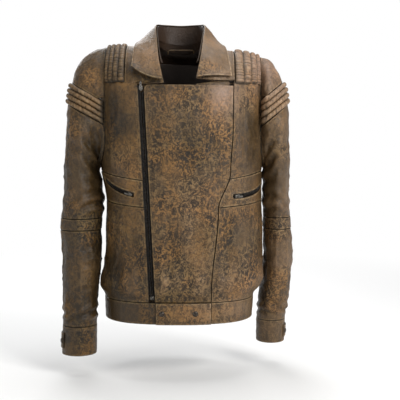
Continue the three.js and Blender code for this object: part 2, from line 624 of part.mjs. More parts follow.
// ---- sleeves ----
const SLEEVE_SIDES = 16;
const halfBand = SLEEVE_RIB_BAND / 2;
for (const [side, name] of [[RIGHT, 'right'], [LEFT, 'left']]) {
  const upper = [crossing(side, 0.02, 0.5, -halfBand - 0.4), crossing(side, 0.98, 0.5, -halfBand - 0.4)];
  add(`${name}_shoulder_cap`, sheet((u, v, w) => {
    const at = mix(upper[0] + 0.012, upper[1] - 0.012, u);
    return sleeve(side, at, stationBelowRibs(side, at, -halfBand - 0.4) * v, LEATHER * w);
  }, 14, rowsOf(0, 1, 4)), 'shell');

  add(`${name}_sleeve_ribs`, sheet((u, distance, w) => {
    const front = crossing(side, 0.02, 0.5, distance);
    const back = crossing(side, 0.98, 0.5, distance);
    const at = mix(front, back, u);
    const wave = Math.abs(Math.sin((Math.PI * RIBS * (distance + halfBand)) / SLEEVE_RIB_BAND));
    const station = Math.max(stationBelowRibs(side, at, distance), 0);
    return sleeve(side, at, station, w < 0.5 ? -RIB_RELIEF * wave : LEATHER);
  }, 14, rowsOf(-halfBand, halfBand, 2 * RIBS)), 'shell');

  const upperTube = (start, outer, inner, end) => tube((u, v, w) => (
    sleeve(side, u, mix(Math.max(start, stationBelowRibs(side, u, halfBand + 1.4)), end, v), mix(outer, inner, w))
  ), SLEEVE_SIDES, rowsOf(0, 1, 7));
  const plainTube = (rows) => tube((u, at, w) => sleeve(side, u, at, LEATHER * w), SLEEVE_SIDES, rows);
  add(`${name}_upper_sleeve`, upperTube(0, 0, LEATHER, ELBOW - 0.01), 'shell');
  add(`${name}_sleeve_lining`, upperTube(2, 9, 10.5, ELBOW - 0.04), 'lining');
  add(`${name}_elbow_band`, plainTube([ELBOW + 0.015, BAND_END - 0.01]), 'shell');
  add(`${name}_forearm_sleeve`, plainTube([BAND_END + 0.01, BAND_END + 1, BAND_END + 2, CUFF - 0.005]), 'shell');

  const VENT = 0.47;
  add(`${name}_cuff`, sheet((u, at, w) => (
    sleeve(side, (mix(0.016, 0.984, u) + VENT) % 1, at, -0.6 + (LEATHER + 0.6) * w)
  ), 16, [CUFF + 0.005, CUFF + 0.5, WRIST]), 'trim');
  const tabAt = (u, at, lift) => sleeve(side, u, at, -lift);
  add(`${name}_cuff_tab`, sheet((u, at, w) => (
    tabAt(mix(VENT - 0.07, VENT + 0.07, u), at, mix(3.6, 1.4, w))
  ), 5, [CUFF + 0.25, CUFF + 0.78]), 'trim');
  const snap = tabAt(VENT - 0.045, CUFF + 0.52, 4.2);
  const beyond = tabAt(VENT - 0.045, CUFF + 0.52, 10).sub(snap).normalize();
  add(`${name}_cuff_snap_cap`, turnedTo(dome(SNAP_RADIUS, 3), beyond, snap), 'metal');
}

// ---- padding and lining ----
for (const [side, name] of [[RIGHT, 'right'], [LEFT, 'left']]) {
  add(`${name}_shoulder_pad`, sheet((u, row, w) => {
    const face = row < 0 ? FRONT : BACK;
    const height = ridge(face) - Math.abs(row);
    const across = mix(92, side.armholeX - 6, u);
    const taper = 1 - (Math.abs(row) / 90) ** 2 * 0.8;
    return body(face, angleAt(side.sign * across, height), height, mix(4, 4 + 9 * taper * (0.3 + 0.7 * u), w));
  }, 5, rowsOf(-85, 85, 8)), 'padding');

  const seamIn = side === RIGHT
    ? (h) => (h < FLAP_TOP ? zipAngle(h, -ZIP_HALF_WIDTH - 4) : angleAt(-neckX(h) - 4, h))
    : (h) => (h < 562 ? angleAt(foldX(h) + 4, h) : angleAt(neckX(h) + 4, h));
  const seamOut = (h) => armhole(side, h) - side.sign * 0.03;
  add(`${name}_front_lining`, bodySheet(FRONT, {
    from: side === RIGHT ? seamOut : seamIn, to: side === RIGHT ? seamIn : seamOut, columns: 6,
    rows: [60, 100, 220, 340, 378, 428, 500, 545, 570, 620, 660], outer: 17, inner: 18.5,
  }), 'lining');
}
add('back_lining', bodySheet(BACK, {
  from: (h) => armhole(RIGHT, h) + 0.03, to: (h) => armhole(LEFT, h) - 0.03, columns: 10,
  rows: [60, 100, 220, 340, 378, 428, 500, 560, 610, 635], outer: 17, inner: 18.5,
}), 'lining');

// ---- joint places, in the finished frame ----
const origin = new THREE.Vector3(0, HANGER.y, HANGER.height);
const finished = (v) => v.clone().sub(origin).toArray().map((n) => Math.round(n * 1000) / 1000);
const unit = (v) => v.toArray().map((n) => Math.round(n * 1e6) / 1e6);
const elbowAt = (side) => {
  const front = sleeve(side, 0.25, ELBOW, -2);
  return finished(front);
};
const tabHinge = (side) => finished(sleeve(side, 0.54, CUFF + 0.5, -4));
group.userData.joints = {
  main_slider: { place: finished(zipStart), axis: unit(mainPath.at(0).along), travel: mainPath.length },
  main_pull: { place: finished(mainPull.position), axis: unit(mainPath.at(0).across) },
  right_pocket: { place: finished(pocketPaths.right.centre), axis: unit(pocketPaths.right.axis),
    radius: pocketPaths.right.radius, angle: pocketPaths.right.angle / DEGREE },
  left_pocket: { place: finished(pocketPaths.left.centre), axis: unit(pocketPaths.left.axis),
    radius: pocketPaths.left.radius, angle: pocketPaths.left.angle / DEGREE },
  right_pull: { place: finished(group.getObjectByName('right_pocket_pull').position),
    axis: unit(pocketPaths.right.at(2).across) },
  left_pull: { place: finished(group.getObjectByName('left_pocket_pull').position),
    axis: unit(pocketPaths.left.at(2).across) },
  right_elbow: elbowAt(RIGHT),
  left_elbow: elbowAt(LEFT),
  right_tab: tabHinge(RIGHT),
  left_tab: tabHinge(LEFT),
};
group.position.copy(origin).negate();

export default group;
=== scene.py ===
"""Looks of a leather riding jacket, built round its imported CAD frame.

Surfaces are worked out in millimetres, with heights counted from the hem, and are then moved so that the
origin is the underside of the hanger loop. Every leather piece is a closed sheet with turned edges.
"""
import math

import bpy
import numpy as np
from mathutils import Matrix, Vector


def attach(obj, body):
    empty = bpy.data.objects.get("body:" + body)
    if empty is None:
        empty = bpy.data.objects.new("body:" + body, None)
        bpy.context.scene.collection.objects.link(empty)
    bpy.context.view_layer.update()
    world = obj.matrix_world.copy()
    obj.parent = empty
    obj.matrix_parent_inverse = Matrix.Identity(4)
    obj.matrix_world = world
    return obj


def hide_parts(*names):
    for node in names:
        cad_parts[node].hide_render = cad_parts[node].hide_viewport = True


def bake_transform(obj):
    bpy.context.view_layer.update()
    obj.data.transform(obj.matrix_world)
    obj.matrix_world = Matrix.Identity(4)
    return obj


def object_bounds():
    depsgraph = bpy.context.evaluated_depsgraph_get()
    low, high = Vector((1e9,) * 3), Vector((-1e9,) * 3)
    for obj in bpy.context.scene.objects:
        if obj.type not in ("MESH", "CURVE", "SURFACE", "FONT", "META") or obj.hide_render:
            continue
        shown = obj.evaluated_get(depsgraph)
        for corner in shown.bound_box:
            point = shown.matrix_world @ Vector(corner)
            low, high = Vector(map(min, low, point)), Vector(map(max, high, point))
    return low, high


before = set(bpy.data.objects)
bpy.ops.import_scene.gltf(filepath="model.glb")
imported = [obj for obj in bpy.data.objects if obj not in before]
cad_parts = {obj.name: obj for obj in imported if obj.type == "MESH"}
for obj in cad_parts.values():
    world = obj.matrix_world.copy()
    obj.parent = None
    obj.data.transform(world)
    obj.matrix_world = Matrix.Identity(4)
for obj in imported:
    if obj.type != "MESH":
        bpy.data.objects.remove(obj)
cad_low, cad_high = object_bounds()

# ---- driving dimensions ----
ORIGIN = np.array([0.0, 50.0, 634.0])
LEATHER = 2.2
GAP = 0.6
WAISTBAND_TOP = 50.0
FLAP_TOP = 549.0
FOLD_TOP = 562.0
RIB_BOTTOM = 549.0
ARMPIT = 353.0
RIB_EDGE = 125.0
NECK_HALF_WIDTH = 62.0
NAPE = 651.0
YOKE = 600.0
RIBS = 4
RIB_BAND = 46.0
ZIP_TOP = (-87.0, 537.0)
ZIP_BOTTOM = (-63.0, 57.0)
ZIP_HALF_WIDTH = 6.5
CHAIN_DEPTH = 1.1
SNAP_RADIUS = 6.5
SNAP_HEIGHT = 26.0
UNDERWRAP_END = 52.0
ELBOW, BAND_END, CUFF, WRIST = 9, 10, 13, 14  # stations along a sleeve
VENT = 0.47  # place of a cuff's opening round the wrist
QUARTER = math.pi / 2
STEP = 3.2  # spacing of the mesh on plain leather
SEARCH = 22  # halvings when a crossing is looked for
LEFT_EDGE, RIGHT_EDGE, FOOT, HEAD = range(4)  # edges of a sheet
PLAIN = {"wear": (0,) * 4, "seam": (0,) * 4}  # for sheets whose edges are neither rubbed nor sewn down


# ---- helpers ----
def profile(pairs):
    at = np.array([p[0] for p in pairs], float)
    value = np.array([p[1] for p in pairs], float)

    def f(x):
        x = np.asarray(x, float)
        i = np.clip(np.searchsorted(at, x, side="right") - 1, 0, len(at) - 2)
        t = np.clip((x - at[i]) / (at[i + 1] - at[i]), 0, 1)
        return value[i] + (value[i + 1] - value[i]) * t * t * (3 - 2 * t)

    return f


def mix(a, b, t):
    return a + (b - a) * t


def smooth(low, high, x):
    t = np.clip((np.asarray(x, float) - low) / (high - low), 0, 1)
    return t * t * (3 - 2 * t)


def hump(x, middle, width):
    return np.exp(-(((np.asarray(x, float) - middle) / width) ** 2))


def corner_value(i, j, k, seed):
    n = (i * 73856093) ^ (j * 19349663) ^ (k * 83492791) ^ (seed * 2654435761)
    n = (n ^ (n >> 13)) & 0x7FFFFFFF
    n = (n * 1274126177) & 0x7FFFFFFF
    n = n ^ (n >> 16)
    return (n & 0xFFFF) / 32767.5 - 1


def noise(p, size, seed=0):
    """Smooth value noise from -1 to 1. size is the width of its bumps, one number or one for each axis."""
    q = np.asarray(p, float) / np.asarray(size, float) + 1000.5
    base = np.floor(q).astype(np.int64)
    f = q - base
    f = f * f * f * (f * (f * 6 - 15) + 10)
    total = 0
    for dx in (0, 1):
        for dy in (0, 1):
            for dz in (0, 1):
                w = ((f[..., 0] if dx else 1 - f[..., 0]) * (f[..., 1] if dy else 1 - f[..., 1])
                     * (f[..., 2] if dz else 1 - f[..., 2]))
                at = base + (dx, dy, dz)
                total = total + w * corner_value(at[..., 0], at[..., 1], at[..., 2], seed)
    return total


def creases(p, size, seed=0):
    """Sharp-crested folds, from 0 in the hollows to 1 on the crests."""
    return (1 - np.abs(noise(p, size, seed))) ** 2


# ---- the body's surface ----
body_half = profile([[0, 176], [50, 178], [78, 187], [203, 188], [273, 185], [373, 192]])
body_centre = profile([[0, -5], [53, -4], [123, 8], [273, 8], [353, 2], [533, 0]])
FRONT = {"sign": -1, "bend": 525.0, "over": 205.0, "depth": profile([[0, 143], [50, 145], [78, 150]])}
BACK = {"sign": 1, "bend": 473.0, "over": 255.0,
        "depth": profile([[0, 135], [50, 137], [78, 143], [423, 150]])}
RIGHT = {"sign": -1, "armhole": 172.0, "name": "right"}
LEFT = {"sign": 1, "armhole": 186.0, "name": "left"}


neck_rise = profile([[60, 20], [108, 0]])


def shoulder_line(x):
    return 636 - 2.76e-13 * np.asarray(x, float) ** 6 - 0.05 * x


def ridge(face):
    return face["bend"] + face["over"]


def body(face, angle, height, out=0.0):
    x = body_centre(height) + (body_half(height) + out) * np.sin(angle)
    roundness = np.cos(angle) * (1 + 0.25 * np.sin(angle) ** 2)
    roll = np.clip((height - face["bend"]) / face["over"], 0, 1) * QUARTER
    y = face["sign"] * (face["depth"](height) + out) * roundness * np.cos(roll)
    over = (shoulder_line(x) + out - face["bend"]) * np.sin(roll)
    z = np.where(roll > 0, face["bend"] + over + neck_rise(np.abs(x)) * np.sin(roll) ** 8, height)
    return np.stack(np.broadcast_arrays(x, y, z), -1)


def angle_at(x, height):
    return np.arcsin(np.clip((x - body_centre(height)) / body_half(height), -1, 1))


def armhole(side, height):
    straight = angle_at(side["sign"] * side["armhole"], height)
    k = np.clip((height - ARMPIT) / 75, 0, 1)
    edge = side["sign"] * QUARTER
    return np.where(height <= ARMPIT, edge, mix(edge, straight, np.sqrt(1 - (1 - k) ** 2)))


def zip_x(height):
    return mix(ZIP_BOTTOM[0], ZIP_TOP[0], (height - ZIP_BOTTOM[1]) / (ZIP_TOP[1] - ZIP_BOTTOM[1]))


def zip_angle(height, offset):
    return angle_at(zip_x(height) + offset, height)


fold_x = profile([[0, 71], [66, 72], [261, 88], [347, 116], [445, 121.5], [562, 123]])


def neck_x(height):
    m = np.clip((ridge(FRONT) - height) / (ridge(FRONT) - FLAP_TOP), 0, 1)
    return NECK_HALF_WIDTH - 28 * m ** 1.2


def nape_line(x):
    across = np.clip(np.abs(x) / NECK_HALF_WIDTH, 0, 1)
    return ridge(BACK) - (ridge(BACK) - NAPE) * np.sqrt(1 - across * across)


def pocket_top(angle):
    return 327 + 18 * np.clip((np.abs(angle) - 0.45) / 0.8, 0, 1)


def pocket_bottom(angle):
    return 266 + 10 * np.clip((np.abs(angle) - 0.45) / 0.8, 0, 1)


# ---- the sleeves' surface ----
RIGHT["stations"] = np.array([
    [205, 626, 190.5, 356, 80, 0], [232, 605, 191, 355, 84, 0], [247, 577, 191.5, 353, 86, 0],
    [260, 546, 192, 350, 86, 0], [266, 511, 192, 345, 85, -2], [271, 434, 191, 335, 80, -5],
    [277, 357, 189, 318, 74, -10], [280, 280, 183, 273, 68, -15], [284, 235, 187, 235, 62, -18],
    [285, 208, 189, 208, 60, -20], [282, 127, 190, 127, 56, -26], [280, 50, 197, 50, 52, -32],
    [279, -17, 199, -17, 48, -38], [281, -85, 200, -85, 45, -42]], float)
LEFT["stations"] = np.array([
    [206, 608, 194.5, 356, 76, 2], [221, 590, 195, 355, 80, 4], [233, 572, 195.5, 353, 82, 6],
    [247, 546, 196, 350, 83, 8], [254, 511, 196.5, 345, 83, 10], [258, 434, 197, 335, 80, 13],
    [260, 357, 198, 318, 75, 17], [261, 280, 197, 273, 70, 22], [264, 235, 199, 235, 65, 26],
    [266, 208, 199, 208, 63, 28], [271, 127, 200, 127, 58, 36], [264, 50, 191, 50, 53, 42],
    [255, -17, 185, -17, 48, 47], [253, -73, 185, -73, 45, 50]], float)
RIGHT["ribs"] = ((264.0, 530.0), (172.0, 478.0))
LEFT["ribs"] = ((252.0, 533.0), (188.0, 480.0))


def armhole_ring(side, u):
    top = shoulder_line(side["sign"] * side["armhole"])
    z = mix(ARMPIT + 2, top, (1 - np.cos(2 * np.pi * u)) / 2)
    points = []
    for face in (FRONT, BACK):
        over = np.arcsin(np.clip((z - face["bend"]) / (top - face["bend"]), 0, 1)) / QUARTER
        height = np.where(z < face["bend"], z, face["bend"] + face["over"] * over)
        points.append(body(face, armhole(side, height), height))
    ring = np.where((u <= 0.5)[..., None], points[0], points[1])
    ring[..., 0] += side["sign"] * 3.2
    return ring


def station_ring(side, number, u):
    ox, oz, ix, iz, depth, back = side["stations"][number - 1]
    along = np.cos(2 * np.pi * u)
    return np.stack([side["sign"] * ((ox + ix) / 2 - (ox - ix) / 2 * along),
                     back - depth * np.sin(2 * np.pi * u), (oz + iz) / 2 - (oz - iz) / 2 * along], -1)


def sleeve(side, u, at):
    """A smooth curve through the same point of every ring, which is the armhole at 0 and the wrist at 14."""
    u, at = np.broadcast_arrays(np.asarray(u, float), np.asarray(at, float))
    u = u % 1.0
    rings = np.stack([armhole_ring(side, u)] + [station_ring(side, k, u) for k in range(1, WRIST + 1)])
    low = np.clip(np.floor(at).astype(int), 0, WRIST - 1)
    step = np.linalg.norm(np.diff(rings, axis=0), axis=-1)[..., None] + 1e-6
    slope = np.diff(rings, axis=0) / step
    tangent = np.zeros_like(rings)
    tangent[0], tangent[-1] = slope[0], slope[-1]
    tangent[1:-1] = (slope[:-1] * step[1:] + slope[1:] * step[:-1]) / (step[1:] + step[:-1])
    t = (at - low)[..., None]

    def pick(a, k):
        return np.take_along_axis(a, k[None, ..., None], 0)[0]

    a, b, h = pick(rings, low), pick(rings, low + 1), pick(step, low)
    ta, tb = pick(tangent, low) * h, pick(tangent, low + 1) * h
    t2, t3 = t * t, t * t * t
    return (2 * t3 - 3 * t2 + 1) * a + (t3 - 2 * t2 + t) * ta + (3 * t2 - 2 * t3) * b + (t3 - t2) * tb


def below_ribs(side, point):
    (ox, oz), (ix, iz) = side["ribs"]
    normal = np.array([oz - iz, ix - ox])
    normal /= np.linalg.norm(normal)
    return (side["sign"] * point[..., 0] - ox) * normal[0] + (point[..., 2] - oz) * normal[1]


def station_below_ribs(side, u, distance):
    u, distance = np.broadcast_arrays(np.asarray(u, float), np.asarray(distance, float))
    low, high = np.zeros(u.shape), np.full(u.shape, 8.0)
    for _ in range(SEARCH):
        middle = (low + high) / 2
        above = below_ribs(side, sleeve(side, u, middle)) < distance
        low, high = np.where(above, middle, low), np.where(above, high, middle)
    at = (low + high) / 2
    return np.where(below_ribs(side, sleeve(side, u, np.zeros(u.shape))) >= distance, 0, at)


def crossing(side, start, end, distance):
    distance = np.asarray(distance, float)
    low, high = np.full(distance.shape, float(start)), np.full(distance.shape, float(end))
    for _ in range(SEARCH):
        middle = (low + high) / 2
        beyond = below_ribs(side, armhole_ring(side, middle)) > distance
        low, high = np.where(beyond, middle, low), np.where(beyond, high, middle)
    return (low + high) / 2


# ---- collar lines ----
def curve_through(right, left):
    line = np.array(right[::-1] + left, float)

    def f(t):
        s = np.clip(np.asarray(t, float), 0, 1) * (len(line) - 1)
        i = np.clip(np.floor(s).astype(int), 0, len(line) - 2)
        w = (s - i)[..., None]
        ends = np.vstack([2 * line[0] - line[1], line, 2 * line[-1] - line[-2]])
        p0, p1, p2, p3 = ends[i], ends[i + 1], ends[i + 2], ends[i + 3]
        d0, d1, d2 = (np.sqrt(np.linalg.norm(b - a, axis=-1))[..., None] for a, b in
                      ((p0, p1), (p1, p2), (p2, p3)))
        t1 = ((p1 - p0) / d0 - (p2 - p0) / (d0 + d1) + (p2 - p1) / d1) * d1
        t2 = ((p2 - p1) / d1 - (p3 - p1) / (d1 + d2) + (p3 - p2) / d2) * d1
        return (p1 + t1 * w + (3 * p2 - 3 * p1 - 2 * t1 - t2) * w ** 2 + (2 * p1 - 2 * p2 + t1 + t2) * w ** 3)

    return f


roll_line = curve_through(
    [[-40, 42, 698], [-54, -10, 690], [-50, -78, 648], [-42, -134, 592], [-33, -156, 552]],
    [[0, 60, 698], [40, 42, 698], [54, -10, 690], [50, -78, 648], [42, -134, 596], [33, -156, 558]])
edge_line = curve_through(
    [[-60, 84, 632], [-88, 42, 642], [-100, -8, 648], [-106, -70, 632], [-109, -130, 585]],
    [[0, 94, 632], [60, 84, 630], [86, 42, 636], [99, -8, 640], [107, -62, 628], [118, -130, 562]])
base_line = curve_through(
    [[-36, 50, 652], [-54, 0, 654], [-50, -68, 630], [-38, -118, 592], [-27, -140, 568]],
    [[0, 60, 648], [36, 50, 652], [54, 0, 654], [50, -68, 630], [38, -118, 592], [27, -140, 572]])


def inside_body(p, clear):
    inside = np.zeros(p.shape[:-1], bool)
    for face, here in ((FRONT, p[..., 1] < 0), (BACK, p[..., 1] >= 0)):
        angle = np.arcsin(np.clip(p[..., 0] / body_half(face["bend"]), -1, 1))
        depth = np.abs(body(face, angle, np.full(angle.shape, face["bend"]), clear)[..., 1]) + 1e-6
        lean = np.clip(np.abs(p[..., 1]) / depth, 0, 1)
        steep = np.sqrt(1 - lean * lean)
        over = (shoulder_line(p[..., 0]) + clear - face["bend"]) * steep
        top = face["bend"] + over + neck_rise(np.abs(p[..., 0])) * steep ** 8
        inside |= here & (np.abs(p[..., 1]) < depth) & (p[..., 2] < top)
    return inside


def between(line_a, line_b, crown):
    def f(t, v):
        p = mix(line_a(t), line_b(t), v[..., None])
        out = np.stack([p[..., 0] * 0.6, p[..., 1], np.full(v.shape, 70.0)], -1)
        out /= np.linalg.norm(out, axis=-1, keepdims=True)
        p = p + out * (crown * 4 * v * (1 - v))[..., None]
        if crown > 0:
            push = np.zeros(v.shape)
            for _ in range(80):
                push += 0.5 * inside_body(p + out * push[..., None], 3.6)
            for _ in range(12):
                wide = np.pad(push, 1, mode="edge")
                around = wide[:-2, 1:-1] + wide[2:, 1:-1] + wide[1:-1, :-2] + wide[1:-1, 2:]
                push = np.maximum(push, around / 4)
            p = p + out * push[..., None]
        return p

    return f


# ---- zip paths ----
def unit(v):
    return v / np.linalg.norm(v)


def straight_path(start, end):
    along = unit(end - start)
    out = unit(np.array([0.0, -1.0, 0.0]) + along * along[1])
    return {"length": float(np.linalg.norm(end - start)),
            "at": lambda d: (start + along * d, along, out, np.cross(along, out))}


def arc_path(a, b, c):
    ab, ac = b - a, c - a
    normal = np.cross(ab, ac)
    size = normal @ normal
    centre = a + (np.cross(normal, ab) * (ac @ ac) + np.cross(ac, normal) * (ab @ ab)) / (2 * size)
    radius = np.linalg.norm(a - centre)
    axis = unit(normal)
    first = unit(a - centre)
    second = np.cross(axis, first)
    sweep = math.acos(np.clip(first @ unit(c - centre), -1, 1))

    def at(d):
        out = first * math.cos(d / radius) + second * math.sin(d / radius)
        return centre + out * radius, np.cross(axis, out), out, axis

    return {"length": radius * sweep, "at": at}


def front_point(x, height, out=-CHAIN_DEPTH):
    return body(FRONT, angle_at(x, height), np.float64(height), out)


main_path = straight_path(front_point(*ZIP_TOP), front_point(*ZIP_BOTTOM))
RIGHT["pocket"] = arc_path(*[front_point(x, z) for x, z in ((-111, 297), (-146, 309), (-170, 325))])
LEFT["pocket"] = arc_path(*[front_point(x, z) for x, z in ((129, 292), (164, 297), (187, 311))])


# ---- materials ----
class Nodes:
    """Short-hand for building a material's nodes."""

    def __init__(self, name):
        self.material = bpy.data.materials.new(name)
        self.material.use_nodes = True
        self.tree = self.material.node_tree
        self.shader = self.tree.nodes["Principled BSDF"]

    def put(self, socket, value):
        if isinstance(value, bpy.types.NodeSocket):
            self.tree.links.new(value, socket)
        else:
            socket.default_value = value

    def node(self, kind, values=(), **settings):
        n = self.tree.nodes.new(kind)
        for key, value in settings.items():
            setattr(n, key, value)
        for key, value in dict(values).items():
            self.put(n.inputs[key], value)
        return n

    def math(self, operation, a, b=0.0, clamp=False):
        return self.node("ShaderNodeMath", {0: a, 1: b}, operation=operation, use_clamp=clamp).outputs[0]

    def plus(self, a, b):
        return self.math("ADD", a, b)

    def minus(self, a, b):
        return self.math("SUBTRACT", a, b)

    def times(self, a, b, clamp=False):
        return self.math("MULTIPLY", a, b, clamp)

    def vector(self, operation, a, b):
        key = "Scale" if operation == "SCALE" else 1
        return self.node("ShaderNodeVectorMath", {0: a, key: b}, operation=operation).outputs[0]

    def mixed(self, factor, a, b, kind="MIX"):
        n = self.node("ShaderNodeMix", data_type="RGBA", blend_type=kind)
        for key, value in ((0, factor), (6, a), (7, b)):
            self.put(n.inputs[key], value)
        return n.outputs[2]

    def place(self, scale=(1, 1, 1)):
        source = self.node("ShaderNodeAttribute", attribute_name="rest").outputs["Vector"]
        return self.vector("MULTIPLY", source, scale)

    def value(self, name):
        return self.node("ShaderNodeAttribute", attribute_name=name).outputs["Fac"]

    def noise(self, vector, scale, detail=3.0, rough=0.55, colour=False):
        n = self.node("ShaderNodeTexNoise", {"Vector": vector, "Scale": scale, "Detail": detail,
                                             "Roughness": rough})
        return n.outputs["Color" if colour else "Fac"]

    def cells(self, vector, scale, feature="DISTANCE_TO_EDGE"):
        return self.node("ShaderNodeTexVoronoi", {"Vector": vector, "Scale": scale},
                         feature=feature).outputs["Distance"]

    def step(self, value, low, high, to_low=0.0, to_high=1.0):
        return self.node("ShaderNodeMapRange", {"Value": value, "From Min": low, "From Max": high,
                                                "To Min": to_low, "To Max": to_high},
                         interpolation_type="SMOOTHSTEP").outputs[0]

    def ramp(self, value, stops):
        n = self.node("ShaderNodeValToRGB", {0: value})
        while len(n.color_ramp.elements) < len(stops):
            n.color_ramp.elements.new(0.5)
        for element, (place, colour) in zip(n.color_ramp.elements, stops):
            element.position, element.color = place, colour
        return n.outputs[0]

    def done(self, colour, roughness, metallic=0.0, height=None, relief=0.001, specular=0.5):
        self.put(self.shader.inputs["Base Color"], colour)
        self.put(self.shader.inputs["Roughness"], roughness)
        self.put(self.shader.inputs["Metallic"], metallic)
        self.put(self.shader.inputs["Specular IOR Level"], specular)
        if height is not None:
            bump = self.node("ShaderNodeBump", {"Height": height, "Distance": relief, "Strength": 1.0})
            self.put(self.shader.inputs["Normal"], bump.outputs[0])
        return self.material


def rgb(red, green, blue):
    """Screen colour, each channel from 0 to 255, as linear light."""
    return (*(((c / 255 + 0.055) / 1.055) ** 2.4 if c > 10 else c / 3295 for c in (red, green, blue)), 1.0)


CHARCOAL, DARK, UMBER = rgb(40, 32, 26), rgb(66, 51, 38), rgb(90, 70, 52)
BROWN, TAN, ORANGE = rgb(112, 88, 66), rgb(144, 116, 87), rgb(160, 119, 78)
PALE, GREY_BROWN = rgb(172, 146, 118), rgb(128, 109, 93)


def make_leather(name, wear=1.0):
    """Distressed leather: charcoal over brown, rubbed through in a net of tan lines and along every edge,
    then made lighter or darker by the tone attribute, read as lit, which holds painted light and shade.
    """
    n = Nodes(name)
    rest = n.place()
    drift = n.vector("SUBTRACT", n.noise(rest, 34, 3, colour=True), (0.5, 0.5, 0.5))
    bent = n.vector("ADD", rest, n.vector("SCALE", drift, 0.028))
    tall = n.vector("MULTIPLY", bent, (1, 1, 0.62))
    lit, net, calm, rust = (n.value(k) for k in ("tone", "net", "calm", "rust"))

    blotch = n.noise(tall, 15, 4, 0.6)
    mottle = n.noise(bent, 150, 6, 0.72)
    streak = n.noise(n.place((1, 1, 0.09)), 120, 4, 0.62)
    busy = n.minus(1.0, n.times(calm, 0.7))
    tone = n.times(n.minus(blotch, 0.5), 1.25)
    tone = n.plus(tone, n.times(n.minus(mottle, 0.5), 1.5))
    tone = n.plus(tone, n.times(n.minus(streak, 0.5), n.step(net, 0.6, 0.1, 0.3, 1.5)))
    tone = n.times(tone, busy)
    # Painted light: lit also lifts the tone ramp, and below it turns calm leather from umber to grey-brown.
    tone = n.plus(tone, n.times(lit, 0.42))
    tone = n.step(tone, -0.2, 0.72)
    colour = n.ramp(tone, [(0.0, CHARCOAL), (0.26, DARK), (0.5, UMBER), (0.7, BROWN), (1.0, TAN)])
    colour = n.mixed(n.times(calm, 0.5, clamp=True), colour,
                     n.mixed(n.step(lit, 0.4, 0.9), UMBER, GREY_BROWN))

    specks = n.plus(n.times(n.noise(tall, 60, 6, 0.74), 0.66),
                    n.times(n.noise(tall, 200, 4, 0.7), 0.34))
    patch = n.times(n.step(specks, 0.465, 0.515), net)
    colour = n.mixed(n.times(patch, 0.97), colour, CHARCOAL)
    lines = n.minus(1.0, n.step(n.cells(tall, 74), 0.04, 0.22))
    islands = n.step(n.noise(tall, 200, 4, 0.75), 0.54, 0.6)
    lines = n.math("MAXIMUM", n.times(lines, n.step(n.noise(bent, 240, 3), 0.44, 0.56)), islands)
    rubbed = n.times(lines, n.plus(0.1, n.times(net, 0.85)))
    colour = n.mixed(rubbed, colour, n.mixed(n.step(n.noise(rest, 14, 2), 0.42, 0.58), TAN, ORANGE))
    soft_rust = n.times(rust, n.step(mottle, 0.36, 0.6, 0.15, 0.8))
    colour = n.mixed(soft_rust, colour, ORANGE)
    crack = n.minus(1.0, n.step(n.cells(tall, 88), 0.0, 0.08))
    cracked = n.times(n.times(crack, n.step(n.noise(bent, 19, 3), 0.5, 0.62)), busy)
    colour = n.mixed(n.times(cracked, 0.7), colour, CHARCOAL)

    edge = n.times(n.value("wear"), n.step(n.noise(rest, 110, 4), 0.4, 0.62, 0.08, 1.0))
    colour = n.mixed(n.times(edge, 0.6 * wear, clamp=True), colour, PALE)
    colour = n.mixed(n.times(n.value("seam"), 0.92, clamp=True), colour, rgb(20, 15, 12))
    # Painted light and shade: the colour is darkened and warmed where lit is low, and brightened where it is
    # high.
    bright = n.plus(0.3, n.times(lit, 0.8))
    warm = n.times(bright, n.minus(1.04, n.times(lit, 0.04)))
    cool = n.times(bright, n.plus(0.5, n.times(lit, 0.52)))
    colour = n.mixed(1.0, colour, n.node("ShaderNodeCombineColor", {0: warm, 1: bright, 2: cool}).outputs[0],
                     "MULTIPLY")
    colour = n.mixed(n.value("inside"), colour, rgb(58, 44, 34))

    grain = n.cells(bent, 620, "F1")
    height = n.plus(n.times(grain, -0.16), n.times(mottle, 0.9))
    height = n.minus(height, n.times(n.plus(cracked, patch), 0.3))
    roughness = n.step(n.plus(mottle, n.times(calm, -0.25)), 0.2, 0.75, 0.4, 0.7)
    return n.done(colour, roughness, height=height, relief=0.0014, specular=0.36)


def make_fabric(name, dark, light, threads, roughness):
    n = Nodes(name)
    rest = n.place()
    twill = n.node("ShaderNodeTexWave", {"Vector": rest, "Scale": threads, "Distortion": 0.6,
                                         "Detail": 1.0}, bands_direction="DIAGONAL").outputs["Fac"]
    cloud = n.noise(rest, 14, 3)
    colour = n.mixed(n.plus(n.times(twill, 0.45), n.times(cloud, 0.5)),
                     dark, light)
    return n.done(colour, roughness, height=twill, relief=0.0003, specular=0.4)


def make_metal(name, dark, light, roughness):
    n = Nodes(name)
    rest = n.place()
    worn = n.plus(n.times(n.noise(rest, 240, 4), 0.6), n.times(n.value("wear"), 0.5))
    colour = n.mixed(n.step(worn, 0.3, 0.75), dark, light)
    rough = n.step(n.noise(rest, 500, 3), 0.3, 0.7, roughness - 0.1, roughness + 0.14)
    return n.done(colour, rough, metallic=0.85, height=n.noise(rest, 700, 2), relief=0.0002)


MATERIALS = {
    "shell_leather": make_leather("distressed_shell"),
    "trim_leather": make_leather("distressed_trim", wear=1.25),
    "lining": make_fabric("lining_satin", rgb(60, 52, 47), rgb(102, 90, 82), 420, 0.5),
    "padding": make_fabric("pad_fibre", rgb(176, 170, 158), rgb(214, 209, 198), 260, 0.95),
    "slider_metal": make_metal("worn_slider_metal", rgb(46, 44, 42), rgb(150, 145, 138), 0.32),
    "dark_zip_metal": make_metal("zip_black_metal", rgb(26, 24, 23), rgb(84, 80, 76), 0.42),
    "dark_snap_metal": make_metal("snap_antique_metal", rgb(26, 22, 20), rgb(96, 88, 80), 0.26),
    "thread": make_fabric("waxed_thread", rgb(92, 70, 50), rgb(150, 120, 88), 900, 0.7),
    "tape": make_fabric("zip_tape", rgb(17, 15, 14), rgb(34, 31, 29), 700, 0.8),
}


